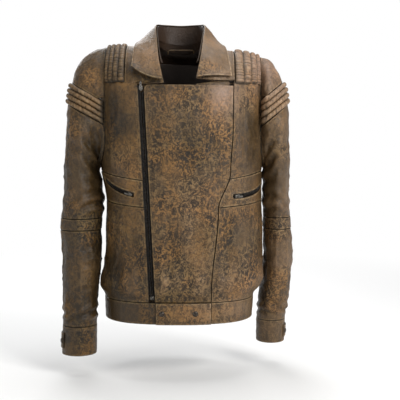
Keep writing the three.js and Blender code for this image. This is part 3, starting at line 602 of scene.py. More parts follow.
# ---- meshes ----
def final(points):
    """Hem millimetres as metres in the final frame."""
    return (np.asarray(points, float) - ORIGIN) * 0.001


class Piece:
    """Gathers parts of one mesh in hem millimetres, then makes the Blender object."""

    def __init__(self, name, slot, nodes=None, body="torso", bend=None, finish=None):
        self.name, self.slot, self.body, self.bend = name, slot, body, bend
        self.nodes = [name] if nodes is None else nodes
        self.points, self.faces, self.kinds, self.count = [], [], [], 0
        self.values = {"wear": [], "seam": [], "tone": [], "inside": []}
        self.materials = [finish or slot]

    def add(self, points, faces, kind=None, **values):
        points = np.asarray(points, float).reshape(-1, 3)
        if kind is not None and kind not in self.materials:
            self.materials.append(kind)
        which = 0 if kind is None else self.materials.index(kind)
        self.points.append(points)
        self.faces += [tuple(i + self.count for i in f) for f in faces]
        self.kinds += [which] * len(faces)
        self.count += len(points)
        for key, store in self.values.items():
            value = np.asarray(values.get(key, 0.0), float)
            store.append(np.broadcast_to(value.ravel() if value.ndim else value, (len(points),)))

    def make(self):
        points = np.vstack(self.points)
        mesh = bpy.data.meshes.new(self.name)
        mesh.from_pydata(final(points).tolist(), [], self.faces)
        mesh.attributes.new("rest", "FLOAT_VECTOR", "POINT").data.foreach_set("vector", final(points).ravel())
        values = {key: np.concatenate(store) for key, store in self.values.items()}
        values.update(zones(points))
        for key, value in values.items():
            mesh.attributes.new(key, "FLOAT", "POINT").data.foreach_set("value", value)
        for kind in self.materials:
            mesh.materials.append(MATERIALS[kind])
        mesh.polygons.foreach_set("material_index", self.kinds)
        mesh.polygons.foreach_set("use_smooth", [True] * len(mesh.polygons))
        mesh.update()
        obj = bpy.data.objects.new(self.name, mesh)
        bpy.context.scene.collection.objects.link(obj)
        if self.nodes:
            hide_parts(*self.nodes)
        if self.bend:
            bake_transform(obj)
        else:
            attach(obj, self.body)


def spaced(length, step, fine=True):
    """Shares from 0 to 1 along an edge, closer together near both ends where the leather turns under."""
    near = np.array([0, 0.35, 0.9, 1.7, 2.8, 4.2, 5.6, 7.2, 9.2]) if fine else np.array([0.0])
    if length < 2 * near[-1] + 2 * step:
        near = near[near < length * 0.4]
    count = max(2, int(round((length - 2 * near[-1]) / step)))
    middle = np.linspace(near[-1], length - near[-1], count + 1)
    return np.concatenate([near[:-1], middle, (length - near[:-1])[::-1]]) / length


def normals(grid, closed, centre):
    if closed:
        wide = np.concatenate([grid[:, -1:], grid, grid[:, :1]], 1)
        du = (wide[:, 2:] - wide[:, :-2])
    else:
        du = np.gradient(grid, axis=1)
    n = np.cross(du, np.gradient(grid, axis=0))
    size = np.linalg.norm(n, axis=-1, keepdims=True)
    n = n / np.maximum(size, 1e-9)
    if np.sum(n * (grid - centre)) < 0:
        n = -n
    return n


def sheet_faces(rows, columns, closed):
    """Faces of a sheet with two layers of points, outer layer first."""
    faces = []
    span = columns if closed else columns - 1
    side = rows * columns
    for r in range(rows - 1):
        for c in range(span):
            a, b = r * columns + c, r * columns + (c + 1) % columns
            d, e = a + columns, b + columns
            faces.append((a, b, e, d))
            faces.append((side + a, side + d, side + e, side + b))
    for c in range(span):
        a, b = c, (c + 1) % columns
        faces.append((a, side + a, side + b, b))
        a, b = (rows - 1) * columns + c, (rows - 1) * columns + (c + 1) % columns
        faces.append((a, b, side + b, side + a))
    if not closed:
        for r in range(rows - 1):
            a, b = r * columns, (r + 1) * columns
            faces.append((a, b, side + b, side + a))
            a, b = a + columns - 1, b + columns - 1
            faces.append((a, side + a, side + b, b))
    return faces


def looks_in(grid, outward, row, column):
    """Whether a face made in grid order at this place looks inwards."""
    a, b, c = grid[row, column], grid[row, column + 1], grid[row + 1, column]
    return np.cross(b - a, c - a) @ outward < 0


def turned(faces, flip):
    return [f[::-1] for f in faces] if flip else faces


def layers(outer, under):
    return np.vstack([outer.reshape(-1, 3), under.reshape(-1, 3)])


def sheet_values(worn, dark, tone):
    """What a sheet's material reads, for its outer layer and then for its underside."""
    pairs = {"wear": (worn, 0.0), "seam": (dark, 0.2), "tone": (tone, tone), "inside": (0 * tone, 1.0)}
    return {key: np.concatenate([outer.ravel(), np.broadcast_to(under, outer.shape).ravel()])
            for key, (outer, under) in pairs.items()}


def borders(grid, closed):
    """Distance of every point from the left, right, bottom and top edges, measured along the sheet."""
    along = np.concatenate([np.zeros((len(grid), 1)),
                            np.cumsum(np.linalg.norm(np.diff(grid, axis=1), axis=-1), 1)], 1)
    up = np.concatenate([np.zeros((1, grid.shape[1])),
                         np.cumsum(np.linalg.norm(np.diff(grid, axis=0), axis=-1), 0)], 0)
    far = np.full(along.shape, 1e3)
    return (far if closed else along, far if closed else along[:, -1:] - along, up, up[-1:] - up)


def stitches(piece, grid, normal, distance, offset, pitch=4.4, length=3.1, thick=0.5, lift=0.15):
    """A row of thread along the line at offset from one edge; distance is every point's own."""
    axis = 1 if np.ptp(distance[0]) > np.ptp(distance[:, 0]) else 0
    g, n, d = (grid, normal, distance) if axis else (
        grid.transpose(1, 0, 2), normal.transpose(1, 0, 2), distance.T)
    line, out = [], []
    for row in range(len(g)):
        s = d[row]
        order = np.argsort(s)
        if s.max() < offset + 2:
            continue
        line.append([np.interp(offset, s[order], g[row][order][:, k]) for k in range(3)])
        out.append([np.interp(offset, s[order], n[row][order][:, k]) for k in range(3)])
    if len(line) < 3:
        return
    line, out = np.array(line), np.array(out)
    run = np.concatenate([[0], np.cumsum(np.linalg.norm(np.diff(line, axis=0), axis=1))])
    at = np.arange(3, run[-1] - 3, pitch)
    if not len(at):
        return

    def sample(values, where):
        return np.stack([np.interp(where, run, values[:, k]) for k in range(3)], -1)

    a, b = sample(line, at - length / 2), sample(line, at + length / 2)
    up = sample(out, at)
    up /= np.maximum(np.linalg.norm(up, axis=1, keepdims=True), 1e-9)
    side = np.cross(b - a, up)
    side /= np.maximum(np.linalg.norm(side, axis=1, keepdims=True), 1e-9)
    middle = (a + b) / 2 + up * (lift + thick * 0.6)
    sunk = up * (lift - 0.35)
    points = np.stack([a + sunk, middle + side * thick, middle + up * thick * 0.5, middle - side * thick,
                       middle - up * thick, b + sunk], 1)
    faces = []
    for i in range(len(at)):
        k = i * 6
        for p, q in ((1, 2), (2, 3), (3, 4), (4, 1)):
            faces += [(k, k + q, k + p), (k + 5, k + p, k + q)]
    piece.add(points, faces, "thread")


# Soft spots on the front, each with its strength, place, width and height. LIGHT is painted light, as on the
# shoulder cap of the wearer's left, mixed with paler leather; SHADED is painted shade, as round the armholes
# and under the collar's leaf on the flap's top, mixed with darker leather.
LIGHT = ((0.5, 88, 520, 48, 60), (0.16, 40, 230, 60, 90), (0.2, 110, 30, 70, 30), (0.2, -75, 600, 45, 40),
         (0.4, 195, 570, 42, 50))
SHADED = ((0.34, 165, 455, 20, 46), (0.32, -132, 480, 36, 80), (0.2, 40, 395, 75, 55),
          (0.12, -150, 150, 60, 130), (0.16, -110, 20, 90, 40), (0.16, -150, 480, 14, 90),
          (0.26, 88, 552, 42, 8), (0.16, 215, 380, 30, 120), (0.1, -205, 400, 25, 90))
SMOOTH = ((1.0, 98, 532, 42, 56), (0.7, 190, 590, 45, 38))
RUSTY = ((0.9, -128, 540, 26, 18), (0.7, -106, 330, 13, 120), (0.6, -120, 250, 26, 60),
         (0.5, -215, 560, 25, 26), (0.85, 44, 178, 20, 52), (0.5, -12, 345, 24, 26), (0.6, 20, 25, 60, 16),
         (0.5, -78, 625, 34, 40))


def spots(p, table):
    return sum(strength * hump(p[..., 0], x, wide) * hump(p[..., 2], z, tall)
               for strength, x, z, wide, tall in table)


def worn_tone_and_painted_light(p):
    """How light the leather looks: its worn tone mixed with painted light and shade, lighter high up and on
    the wearer's left, the side the key lamp lights.
    """
    x, y, z = p[..., 0], p[..., 1], p[..., 2]
    # Painted light: lighter towards the wearer's left, where the key lamp stands, and higher up.
    plain = 0.46 + 0.0008 * x + 0.0003 * (z - 330) + 0.16 * smooth(575, 640, z) * smooth(-60, 120, x)
    # Painted shadow of the collar's leaf on the chest of the wearer's right front.
    painted_leaf_shadow = hump(z + 0.43 * (x + 109), 574, 17) * smooth(-122, -108, x) * smooth(-20, -36, x)
    change = (spots(p, LIGHT) - spots(p, SHADED) - 0.4 * painted_leaf_shadow) * smooth(40, -20, y)
    return np.clip(plain + change + 0.13 * noise(p, 80, 7), 0, 1.15)


def zones(p):
    """Where the finish is netted with fine tan lines, where it is smooth, and where it has gone rusty."""
    x, y, z = p[..., 0], p[..., 1], p[..., 2]
    front = smooth(20, -40, y)
    patchy = smooth(-0.15, 0.7, noise(p, 60, 71))
    waist = smooth(54, 46, z) * smooth(215, 190, np.abs(x)) * smooth(-53, -57, x)
    band = front * hump(z, 306, 42) * np.maximum(smooth(-92, -100, x), smooth(104, 116, x))
    yoke = smooth(590, 640, z) * smooth(150, 120, np.abs(x))
    calm = front * spots(p, SMOOTH) + 0.8 * waist + 0.6 * band + 0.45 * yoke + 0.5 * smooth(0.5, 0, patchy)
    on_flap = smooth(-106, -84, x) * smooth(136, 112, x) * smooth(585, 560, z) * front
    net = mix(0.35 + 0.6 * patchy, 0.85 + 0.15 * patchy, on_flap)
    calm = np.clip(calm * mix(1.0, 0.35, on_flap * smooth(480, 440, z)), 0, 1)
    rust = front * spots(p, RUSTY) + 0.45 * smooth(0.25, 0.8, noise(p, 48, 73))
    return {"net": np.clip(net * (1 - 0.75 * calm), 0, 1), "calm": calm, "rust": np.clip(rust, 0, 1)}


def panel(piece, grid, closed=False, centre=(0, 0, 300), fold=None, rows=(), edge=1.5, thick=LEATHER,
          wear=(1, 1, 1, 1), seam=(1, 1, 1, 1), pucker=0.5, lift=0.0, ends=(1, 1, 1, 1), shade=0.0):
    """Adds a closed leather sheet. rows lists stitch lines, each an edge and the distance from it."""
    normal = normals(grid, closed, np.array(centre, float))
    away = borders(grid, closed)
    near = np.minimum.reduce([np.where(np.array(on) > 0, d, 1e3) for d, on in zip(away, ends)])
    free = smooth(3, 26, near)
    out = np.full(near.shape, float(lift))
    if fold is not None:
        out = out + fold(grid, near) * free
    low = out.copy()
    turn = np.clip(1 - near / edge, 0, 1)
    out = out - edge * 0.9 * (1 - np.sqrt(1 - turn ** 2))
    worn, dark = np.zeros(near.shape), np.zeros(near.shape)
    for k, d in enumerate(away):
        worn = np.maximum(worn, wear[k] * hump(d, 1.7, 1.1))
        dark = np.maximum(dark, 0.8 * seam[k] * (1 - smooth(0.2, 1.3, d)))
    for k, offset in rows:
        d = away[k]
        out = out - 0.55 * hump(d, offset, 1.3)
        worn = np.maximum(worn, 0.3 * hump(d, offset - 1.9, 1.2))
        out = out + pucker * hump(d, offset + 1.5, 5) * noise(grid, 9, 31 + k)
    outer = grid + normal * out[..., None]
    middle = (near.shape[0] // 2, near.shape[1] // 2)
    faces = turned(sheet_faces(*near.shape, closed), looks_in(outer, normal[middle], *middle))
    # Painted shade: the tone is lighter on the crests of the folds and darker in their hollows and at the
    # turned edges, and shade darkens the whole sheet.
    piece.add(layers(outer, grid + normal * (low - thick)[..., None]), faces,
              **sheet_values(worn, dark, worn_tone_and_painted_light(grid) + 0.035 * out - shade))
    shown = normals(outer, closed, np.array(centre, float))
    for k, offset in rows:
        stitches(piece, outer, shown, away[k], offset)


def sheet(name, grid, slot="shell_leather", nodes=None, body="torso", bend=None, **options):
    """Makes a piece that is one leather sheet and stands for the CAD node of the same name."""
    piece = Piece(name, slot, nodes, body, bend)
    panel(piece, grid, **options)
    piece.make()


# ---- how the leather folds ----
def body_folds(p, near):
    x, y, z = p[..., 0], p[..., 1], p[..., 2]
    low = smooth(330, 120, z)
    blouse = 6.5 * hump(z, 92, 26) * (1 + 0.45 * noise(p, (34, 60, 90), 3))
    drape = (1.6 + 3.0 * low) * noise(p, (32, 60, 150), 5) + 1.9 * noise(p, 52, 6)
    fine = (1.6 + 0.7 * low) * (creases(p, (17, 24, 34), 9) - 0.45) + 0.55 * noise(p, 8, 12)
    shoulder = 2.0 * smooth(540, 600, z) * noise(p, (40, 40, 40), 15)
    armpit = 3.2 * hump(np.abs(x), 165, 38) * hump(z, 400, 70) * noise(p, (20, 40, 70), 19)
    return blouse + drape + fine + shoulder + armpit


def sleeve_folds(side):
    def f(p, near):
        x, y, z = side["sign"] * p[..., 0], p[..., 1], p[..., 2]
        slant = z + 0.42 * (x - 235) + 0.2 * y
        inner = smooth(275, 195, x)
        front = smooth(60, -60, y)
        bend = hump(z, 262, 44) * (0.35 + 0.65 * inner) * (0.3 + 0.7 * front)
        ridges = 4.2 * bend * np.sin(2 * np.pi * (slant + 7 * noise(p, 45, 3)) / 31)
        lower = hump(z, 120, 80) * 2.2 * (creases(np.stack([x, y, slant], -1), (44, 44, 19), 23) - 0.4)
        stack = 2.6 * hump(z, 5, 30) * np.sin(2 * np.pi * (slant + 6 * noise(p, 40, 8)) / 26)
        drape = 2.4 * noise(np.stack([x, y, slant], -1), (38, 38, 120), 27) + 1.3 * noise(p, 40, 28)
        armpit = 3.4 * hump(z, 380, 60) * inner * np.sin(2 * np.pi * (z - 1.2 * x + 8 * noise(p, 50, 5)) / 42)
        fine = 2.0 * (creases(p, (19, 22, 30), 29) - 0.45) + 0.6 * noise(p, 8, 32)
        return ridges + lower + stack + drape + armpit + fine

    return f


def soft_folds(p, near):
    return 0.8 * noise(p, 26, 41) + 0.6 * (creases(p, (15, 20, 26), 43) - 0.45) + 0.35 * noise(p, 7, 44)


# ---- body panels ----
SEAM_ROOM = GAP / 2
SPAN = 0.6  # angle at which a panel's height is measured


def body_grid(face, left, right, bottom, top, step=STEP):
    """Grid of the body between two seams, given as angles at a height, and two heights, given at an angle."""
    foot, head = float(bottom(SPAN)), float(top(SPAN))
    middle = (np.mean([foot, bottom(-SPAN)]) + np.mean([head, top(-SPAN)])) / 2
    width = float(np.abs(right(middle) - left(middle)) * body_half(middle))
    u, v = np.meshgrid(spaced(max(width, 20), step), spaced(max(head - foot, 20), step))
    height = mix(foot, head, v)
    for _ in range(3):
        gap = SEAM_ROOM / body_half(height)
        angle = mix(left(height) + gap, right(height) - gap, u)
        height = mix(bottom(angle) + SEAM_ROOM, top(angle) - SEAM_ROOM, v)
    return body(face, angle, height)


def flat(value):
    """A seam that stays at one height or angle."""
    return lambda at: np.full(np.shape(at), float(value)) if np.ndim(at) else float(value)


def by_zip(offset):
    return lambda height: zip_angle(height, offset)


def by_fold(offset=0.0):
    return lambda height: angle_at(fold_x(height) + offset, height)


def by_armhole(side, inset=0.0):
    return lambda height: armhole(side, height) - side["sign"] * inset


def in_order(side, inner, outer):
    """The two seams of a side's panel, from the wearer's right to the left."""
    return (outer, inner) if side is RIGHT else (inner, outer)


def front_seam(side, inset=0.0):
    """Front edge of a side: along the zip or the flap's fold, then along the neck."""
    if side is RIGHT:
        return lambda h: np.where(h < FLAP_TOP, zip_angle(h, -ZIP_HALF_WIDTH - inset),
                                  angle_at(-neck_x(h) - inset, h))
    return lambda h: np.where(h < FOLD_TOP, angle_at(fold_x(h) + inset, h), angle_at(neck_x(h) + inset, h))


def main_panels():
    for side, name, front in ((RIGHT, "right_front_panel", RIGHT_EDGE), (LEFT, "left_side_front", LEFT_EDGE)):
        back = 1 - front
        sign = side["sign"]
        seam_out = lambda h: np.where(h < RIB_BOTTOM, armhole(side, h), angle_at(sign * RIB_EDGE, h))
        seams = in_order(side, front_seam(side), seam_out)
        sheet(name, body_grid(FRONT, *seams, pocket_top, flat(ridge(FRONT))), fold=body_folds,
              rows=[(front, 3.4), (front, 7.4), (FOOT, 3.6), (back, 4.2)])
        seams = in_order(side, by_zip(-ZIP_HALF_WIDTH) if side is RIGHT else by_fold(), flat(sign * QUARTER))
        sheet(f"{side['name']}_lower_front", body_grid(FRONT, *seams, flat(WAISTBAND_TOP), pocket_bottom),
              fold=body_folds, rows=[(HEAD, 3.6), (front, 3.4), (front, 7.4), (back, 4)])
        pocket_band(side, seams, front)


SLOT_HALF = 4.6  # half the width of a pocket's opening


def slot_mask(side, points):
    """Distance across a pocket zip and distance along it, for points in hem millimetres."""
    path = side["pocket"]
    runs = np.linspace(-12, path["length"] + 8, 90)
    samples = [path["at"](d) for d in runs]
    centres = np.array([s[0] for s in samples])
    flat_points = points.reshape(-1, 3)
    nearest = np.argmin(((flat_points[:, None] - centres[None]) ** 2).sum(-1), 1)
    across = np.array([s[3] for s in samples])[nearest]
    offset = ((flat_points - centres[nearest]) * across).sum(-1)
    return offset.reshape(points.shape[:-1]), runs[nearest].reshape(points.shape[:-1])


def pocket_band(side, seams, front):
    """The band that holds a pocket zip, with an opening whose lips are turned under and stitched."""
    path = side["pocket"]
    grid = body_grid(FRONT, *seams, pocket_bottom, pocket_top, step=1.7)
    for _ in range(2):
        offset, run = slot_mask(side, grid)
        inside = (run > -9) & (run < path["length"] + 6) & (np.abs(offset) < 9)
        pull = np.where(inside, 1.0, 0.0) * smooth(9, 4, np.abs(offset))
        target = np.sign(offset) * np.maximum(np.abs(offset), SLOT_HALF)
        across = np.array([path["at"](d)[3] for d in run.ravel()]).reshape(*run.shape, 3)
        grid = grid + across * ((target - offset) * pull)[..., None] * 0.6
    normal = normals(grid, False, np.array([0, 0, 300.0]))
    offset, run = slot_mask(side, grid)
    beyond = np.maximum(np.maximum(-8.0 - run, run - path["length"] - 5), 0)
    lip = np.hypot(np.maximum(np.abs(offset) - SLOT_HALF + 0.2, 0), beyond)
    away = borders(grid, False)
    near = np.minimum.reduce(away)
    low = soft_folds(grid, near) * smooth(2, 14, np.minimum(near, lip)) * 1.4
    turn = np.clip(1 - near / 1.5, 0, 1)
    out = low - 1.3 * (1 - np.sqrt(1 - turn ** 2)) + 1.5 * hump(lip, 2.2, 2.0) - 0.5 * hump(lip, 5.6, 1.2)
    out = out - 0.5 * np.maximum(hump(away[HEAD], 3.6, 1.3), hump(away[FOOT], 3.6, 1.3))
    worn = np.maximum.reduce([hump(d, 1.9, 1.5) for d in away] + [1.4 * hump(lip, 2.0, 1.3)]
                             + [1.5 * hump(d, 2.2, 1.6) for d in away[FOOT:]])
    dark = np.maximum(1 - smooth(0.3, 1.4, near), 1 - smooth(0.1, 0.9, lip))
    outer = grid + normal * out[..., None]
    under = grid + normal * (low - LEATHER)[..., None]

    keep = ~((np.abs(offset) < SLOT_HALF - 0.4) & (beyond <= 0))
    rows, columns = near.shape
    solid = keep[:-1, :-1] & keep[1:, :-1] & keep[:-1, 1:] & keep[1:, 1:]
    index = np.arange(rows * columns).reshape(rows, columns)
    half = rows * columns
    quads = [(index[r, c], index[r, c + 1], index[r + 1, c + 1], index[r + 1, c])
             for r, c in zip(*np.nonzero(solid))]
    rim = {}
    for quad in quads:
        for p, q in zip(quad, quad[1:] + quad[:1]):
            if (q, p) in rim:
                del rim[(q, p)]
            else:
                rim[(p, q)] = True
    faces = quads + [(half + a, half + d, half + e, half + b) for a, b, e, d in quads]
    faces += [(p, half + p, half + q, q) for p, q in rim]
    at = (rows // 2, 3)
    faces = turned(faces, looks_in(outer, normal[at], *at))
    used = np.zeros(2 * half, bool)
    used[np.unique(np.array([i for f in faces for i in f]))] = True
    renumber = np.cumsum(used) - 1
    piece = Piece(f"{side['name']}_pocket_band", "shell_leather")
    # Painted shade: the tone is lighter on the crests of the folds and on the raised lips, darker in the
    # hollows.
    values = sheet_values(worn, dark, worn_tone_and_painted_light(grid) + 0.035 * out)
    piece.add(layers(outer, under)[used], [tuple(int(renumber[i]) for i in f) for f in faces],
              **{key: value[used] for key, value in values.items()})
    for k in (FOOT, HEAD, front):
        stitches(piece, outer, normal, away[k], 3.6)
    lip_rows(piece, path)
    piece.make()


def lip_rows(piece, path):
    """Stitches along both lips of a pocket opening."""
    frames = [path["at"](d) for d in np.linspace(-6, path["length"] + 3, 60)]
    middle, _, out, across = (np.array(values) for values in zip(*frames))
    for sign in (-1, 1):
        line = middle + across * sign * 9.6 + out * (CHAIN_DEPTH + 0.35)
        wide = np.stack([line - across * sign * 0.01, line, line + across * sign * 3], 1)
        distance = np.broadcast_to(np.array([0.0, 0.01, 3.01]), wide.shape[:-1])
        stitches(piece, wide, np.stack([out] * 3, 1), distance, 0.01)


def back_panels():
    grid = body_grid(BACK, by_armhole(RIGHT), by_armhole(LEFT), flat(WAISTBAND_TOP), flat(YOKE), step=3.8)
    sheet("back_panel", grid, fold=body_folds, rows=[(HEAD, 3.8), (LEFT_EDGE, 4), (RIGHT_EDGE, 4)])
    half = RIB_EDGE - SEAM_ROOM
    u, v = np.meshgrid(spaced(2 * half, STEP), spaced(110, STEP))
    x = mix(-half, half, u)
    height = mix(YOKE + SEAM_ROOM, np.minimum(nape_line(x), ridge(BACK) - GAP), v)
    sheet("back_yoke", body(BACK, angle_at(x, height), height), fold=body_folds,
          rows=[(FOOT, 3.8), (FOOT, 7.6), (HEAD, 4)], centre=(0, 0, 450))


# ---- ribs ----
CORD_POINTS = RIBS * 12 + 1


def rib_height(share, relief):
    """Height of a row of round cords with deep grooves between them, for a share 0 to 1 across the row."""
    s = (share * RIBS) % 1.0
    return relief * np.sqrt(np.clip(1 - (2 * s - 1) ** 2, 0, 1)) ** 0.9


def cord_crinkle(run, share, seed, amount):
    """Leather gathered over a cord: short ridges across it, with a different rhythm on each cord."""
    cord = np.floor(np.clip(share, 0, 0.999) * RIBS)
    phase = noise(np.stack([run / 9.0, cord * 7.3, np.zeros_like(run)], -1), 1.0, seed)
    beat = np.abs(np.sin(np.pi * (run + 5 * phase) / 8.6 + cord * 1.7)) ** 0.6
    return amount * (beat - 0.6)


def ribbed(name, grid, share, run, end, centre, relief, seed, amount, fade, sink):
    """A leather sheet gathered over cords. end is the distance from the nearer end of the cords."""
    cord = rib_height(share, relief)
    crinkle = cord_crinkle(run, share, seed, amount) * smooth(0.6, 4, cord)
    lift = (cord + crinkle) * smooth(0, fade, end) - sink
    normal = normals(grid, False, np.array(centre, float))
    middle = (lift.shape[0] // 2, lift.shape[1] // 2)
    # Painted shade: darker in the grooves between the cords and in the hollows of the crinkles.
    dark = np.maximum(1 - smooth(1.2, 4.0, cord), 0.75 * smooth(-0.1, -1.0, lift - cord + 1.2))
    worn = np.clip(0.85 * smooth(4.2, 6.0, cord) * (0.6 + 0.6 * noise(grid, (9, 9, 9), 57)), 0, 1)
    piece = Piece(name, "shell_leather")
    # Painted light and shade: the tone is lighter on the tops of the cords and darker in the grooves.
    piece.add(layers(grid + normal * lift[..., None], grid - normal * LEATHER),
              turned(sheet_faces(*lift.shape, False), looks_in(grid, normal[middle], *middle)),
              **sheet_values(worn, dark, worn_tone_and_painted_light(grid) - 0.02 + 0.07 * (lift - 2)))
    piece.make()


def shoulder_ribs():
    front_low = RIB_BOTTOM + 1.2 - ridge(FRONT)
    back_low = ridge(BACK) - YOKE - 0.9
    u, row = np.meshgrid(np.linspace(0, 1, CORD_POINTS), np.arange(front_low, back_low, 2.0))
    for side in (RIGHT, LEFT):
        grids = []
        for face in (FRONT, BACK):
            height = ridge(face) - np.abs(row)
            inner = angle_at(side["sign"] * (RIB_EDGE + GAP), height)
            outer = armhole(side, height) - side["sign"] * 0.004
            grids.append(body(face, mix(inner, outer, u), height))
        ribbed(f"{side['name']}_shoulder_ribs", np.where((row < 0)[..., None], *grids), u, row,
               np.minimum(row - front_low, back_low - row), (0, 0, 450), 6.0, 51, 2.3, 9, 1.3)


# ---- sleeves ----
def sleeve_bends(side):
    """Where the sleeve starts to follow the arm, and where the forearm starts to turn."""
    who = side["name"]
    start = np.array([side["sign"] * 196.0, 0.0, 358.0])
    end = start + np.array([side["sign"] * 0.885, 0.0, -0.466]) * 52
    return (("torso", f"{who}_upper_arm", start, end),
            (f"{who}_upper_arm", f"{who}_forearm", np.array([0, 0, 236.0]), np.array([0, 0, 150.0])))


def sleeves():
    half = RIB_BAND / 2
    for side in (RIGHT, LEFT):
        who = side["name"]
        centre = np.array([side["sign"] * 232.0, side["stations"][6][5], 300.0])
        cap_centre, hand = (side["sign"] * 170, 0, 480), centre * [1, 1, 0] - [0, 0, 50]
        shoulder, elbow = sleeve_bends(side)
        folds = sleeve_folds(side)

        distance = -half - 0.4
        ends = [float(crossing(side, start, 0.5, distance)) for start in (0.02, 0.98)]
        u, v = np.meshgrid(spaced(230, STEP), spaced(70, STEP))
        at_u = mix(ends[0] + 0.012, ends[1] - 0.012, u)
        top = station_below_ribs(side, at_u[0], distance)
        sheet(f"{who}_shoulder_cap", sleeve(side, at_u, top[None] * v), centre=cap_centre,
              fold=lambda p, near: 3.2 + soft_folds(p, near) * 1.6, rows=[(FOOT, 4), (HEAD, 3.6)])

        share = np.linspace(0, 1, CORD_POINTS)
        front, back = (crossing(side, start, 0.5, mix(-half, half, share)) for start in (0.02, 0.98))
        u, s = np.meshgrid(np.linspace(0, 1, 132), share)
        at_u = mix(front[:, None], back[:, None], u)
        band = sleeve(side, at_u, station_below_ribs(side, at_u, mix(-half, half, s)))
        run = np.cumsum(np.linalg.norm(np.diff(band, axis=1, prepend=band[:, :1]), axis=-1), 1)
        ribbed(f"{who}_sleeve_ribs", band, s, run, np.minimum(run, run[:, -1:] - run), cap_centre,
               6.8, 61, 2.6, 11, 1.0)

        u = np.linspace(0, 1, 128, endpoint=False)
        start = station_below_ribs(side, u, half + 1.4)
        for name, bend, low, high, v, options in (
                ("upper_sleeve", shoulder, start[None], ELBOW - 0.01, spaced(300, STEP),
                 {"fold": folds, "rows": [(HEAD, 4.4), (FOOT, 3.8)], "ends": (0, 0, 1, 1)}),
                ("elbow_band", elbow, ELBOW + 0.015, BAND_END - 0.01, spaced(26, 2.4),
                 {"fold": soft_folds, "rows": [(FOOT, 4), (HEAD, 4)], "lift": 0.7}),
                ("forearm_sleeve", elbow, BAND_END + 0.01, CUFF - 0.005, spaced(225, STEP),
                 {"fold": folds, "rows": [(FOOT, 4.2), (HEAD, 4.2)]})):
            sheet(f"{who}_{name}", sleeve(side, u[None], mix(low, high, v[:, None])), bend=bend, closed=True,
                  centre=centre, **options)

        u, v = np.meshgrid(spaced(215, STEP), spaced(68, STEP))
        cuff = sleeve(side, mix(0.016, 0.984, u) + VENT, mix(CUFF + 0.005, WRIST, v))
        sheet(f"{who}_cuff", cuff, "trim_leather", body=f"{who}_forearm", centre=hand, fold=soft_folds,
              lift=0.6, thick=LEATHER + 0.6,
              rows=[(LEFT_EDGE, 4), (RIGHT_EDGE, 4), (FOOT, 4), (FOOT, 8), (HEAD, 4)])
        u, v = np.meshgrid(spaced(32, 2), spaced(36, 2))
        tab = sleeve(side, mix(VENT - 0.07, VENT + 0.07, u), mix(CUFF + 0.25, CUFF + 0.78, v))
        sheet(f"{who}_cuff_tab", tab, "trim_leather", body=f"{who}_cuff_tab", centre=hand, lift=3.6,
              thick=2.2, rows=[(edge, 3.4) for edge in (LEFT_EDGE, RIGHT_EDGE, FOOT, HEAD)])

        u = np.linspace(0, 1, 72, endpoint=False)
        start = np.maximum(2, station_below_ribs(side, u, half + 1.4))
        tube = sleeve(side, u[None], mix(start[None], ELBOW - 0.04, np.linspace(0, 1, 40)[:, None]))
        sheet(f"{who}_sleeve_lining", tube, "lining", bend=shoulder, closed=True, centre=centre, lift=-9,
              thick=1.5, edge=0.5, fold=lambda p, near: 1.6 * noise(p, (20, 20, 60), 71), **PLAIN)


# ---- strips behind the seams ----
FLAP_BEND = ("torso", "front_flap", (102.0, -140.0, 300.0), (102.0 - 44.8, -140.0, 304.5))


def strip(name, grid, thick, edge, shade, **options):
    """A hidden strip of leather that stands for no CAD node; shade darkens it as painted shade in the gap it
    fills.
    """
    sheet(name, grid, nodes=(), thick=thick, edge=edge, shade=shade, **{**PLAIN, **options})


def armhole_welts():
    """A turned strip behind each armhole seam, which closes the gap between the body and the sleeve."""
    for side in (RIGHT, LEFT):
        ring = armhole_ring(side, np.linspace(0, 1, 150, endpoint=False))
        middle = (ring.min(0) + ring.max(0)) / 2 * [0, 1, 1]
        radial = ring * [0, 1, 1] - middle
        radial /= np.linalg.norm(radial, axis=-1, keepdims=True)
        reach = np.linspace(-10, 6, 17)[:, None, None]
        grid = ring[None] + radial[None] * (1.9 * hump(reach, -1.6, 1.9) - 3.0)
        strip(f"{side['name']}_armhole_welt", grid + reach * np.array([side["sign"], 0, 0]), 1.2, 0.4, 0.25,
              closed=True, centre=middle + [side["sign"] * 185, 0, 0])


def neck_strips():
    """Strips under the collar at the nape, behind the flap's upper corner and behind the flap's fold."""
    u, v = np.meshgrid(spaced(120, 3), np.linspace(0, 1, 9))
    seam = base_line(mix(0.3, 0.7, u)) + [0, 0, 5]
    x = np.clip(seam[..., 0] * 1.08, -59, 59)
    height = np.minimum(nape_line(x), ridge(BACK) - GAP) - 6
    yoke = body(BACK, angle_at(x, height), height, -2.6)
    strip("nape_strip", mix(yoke, seam, v[..., None]), 1.2, 0.4, 0.2, centre=(0, 0, 500))
    u, v = np.meshgrid(spaced(90, 3), np.linspace(0, 1, 12))
    height = mix(FLAP_TOP - 14, FLAP_TOP + 2 + 16 * u, v)
    corner = body(FRONT, angle_at(mix(40.0, 118.0, u), height), height, -9.0)
    strip("flap_corner_strip", corner, 1.2, 0.6, 0.2, wear=(0, 0, 0, 1))
    u, v = np.meshgrid(np.linspace(-1, 1, 9), spaced(FLAP_TOP, 5))
    height = mix(3.0, FLAP_TOP - 8, v)
    low = smooth(WAISTBAND_TOP, WAISTBAND_TOP - 6, height)
    reach = np.where(u < 0, mix(8.0, 28.0, low), 8.0)
    fold = body(FRONT, angle_at(fold_x(height) + 4 + reach * u, height), height, mix(-4.6, -1.0, low))
    strip("flap_seam_strip", fold, 1.0, 0.4, 0.25)


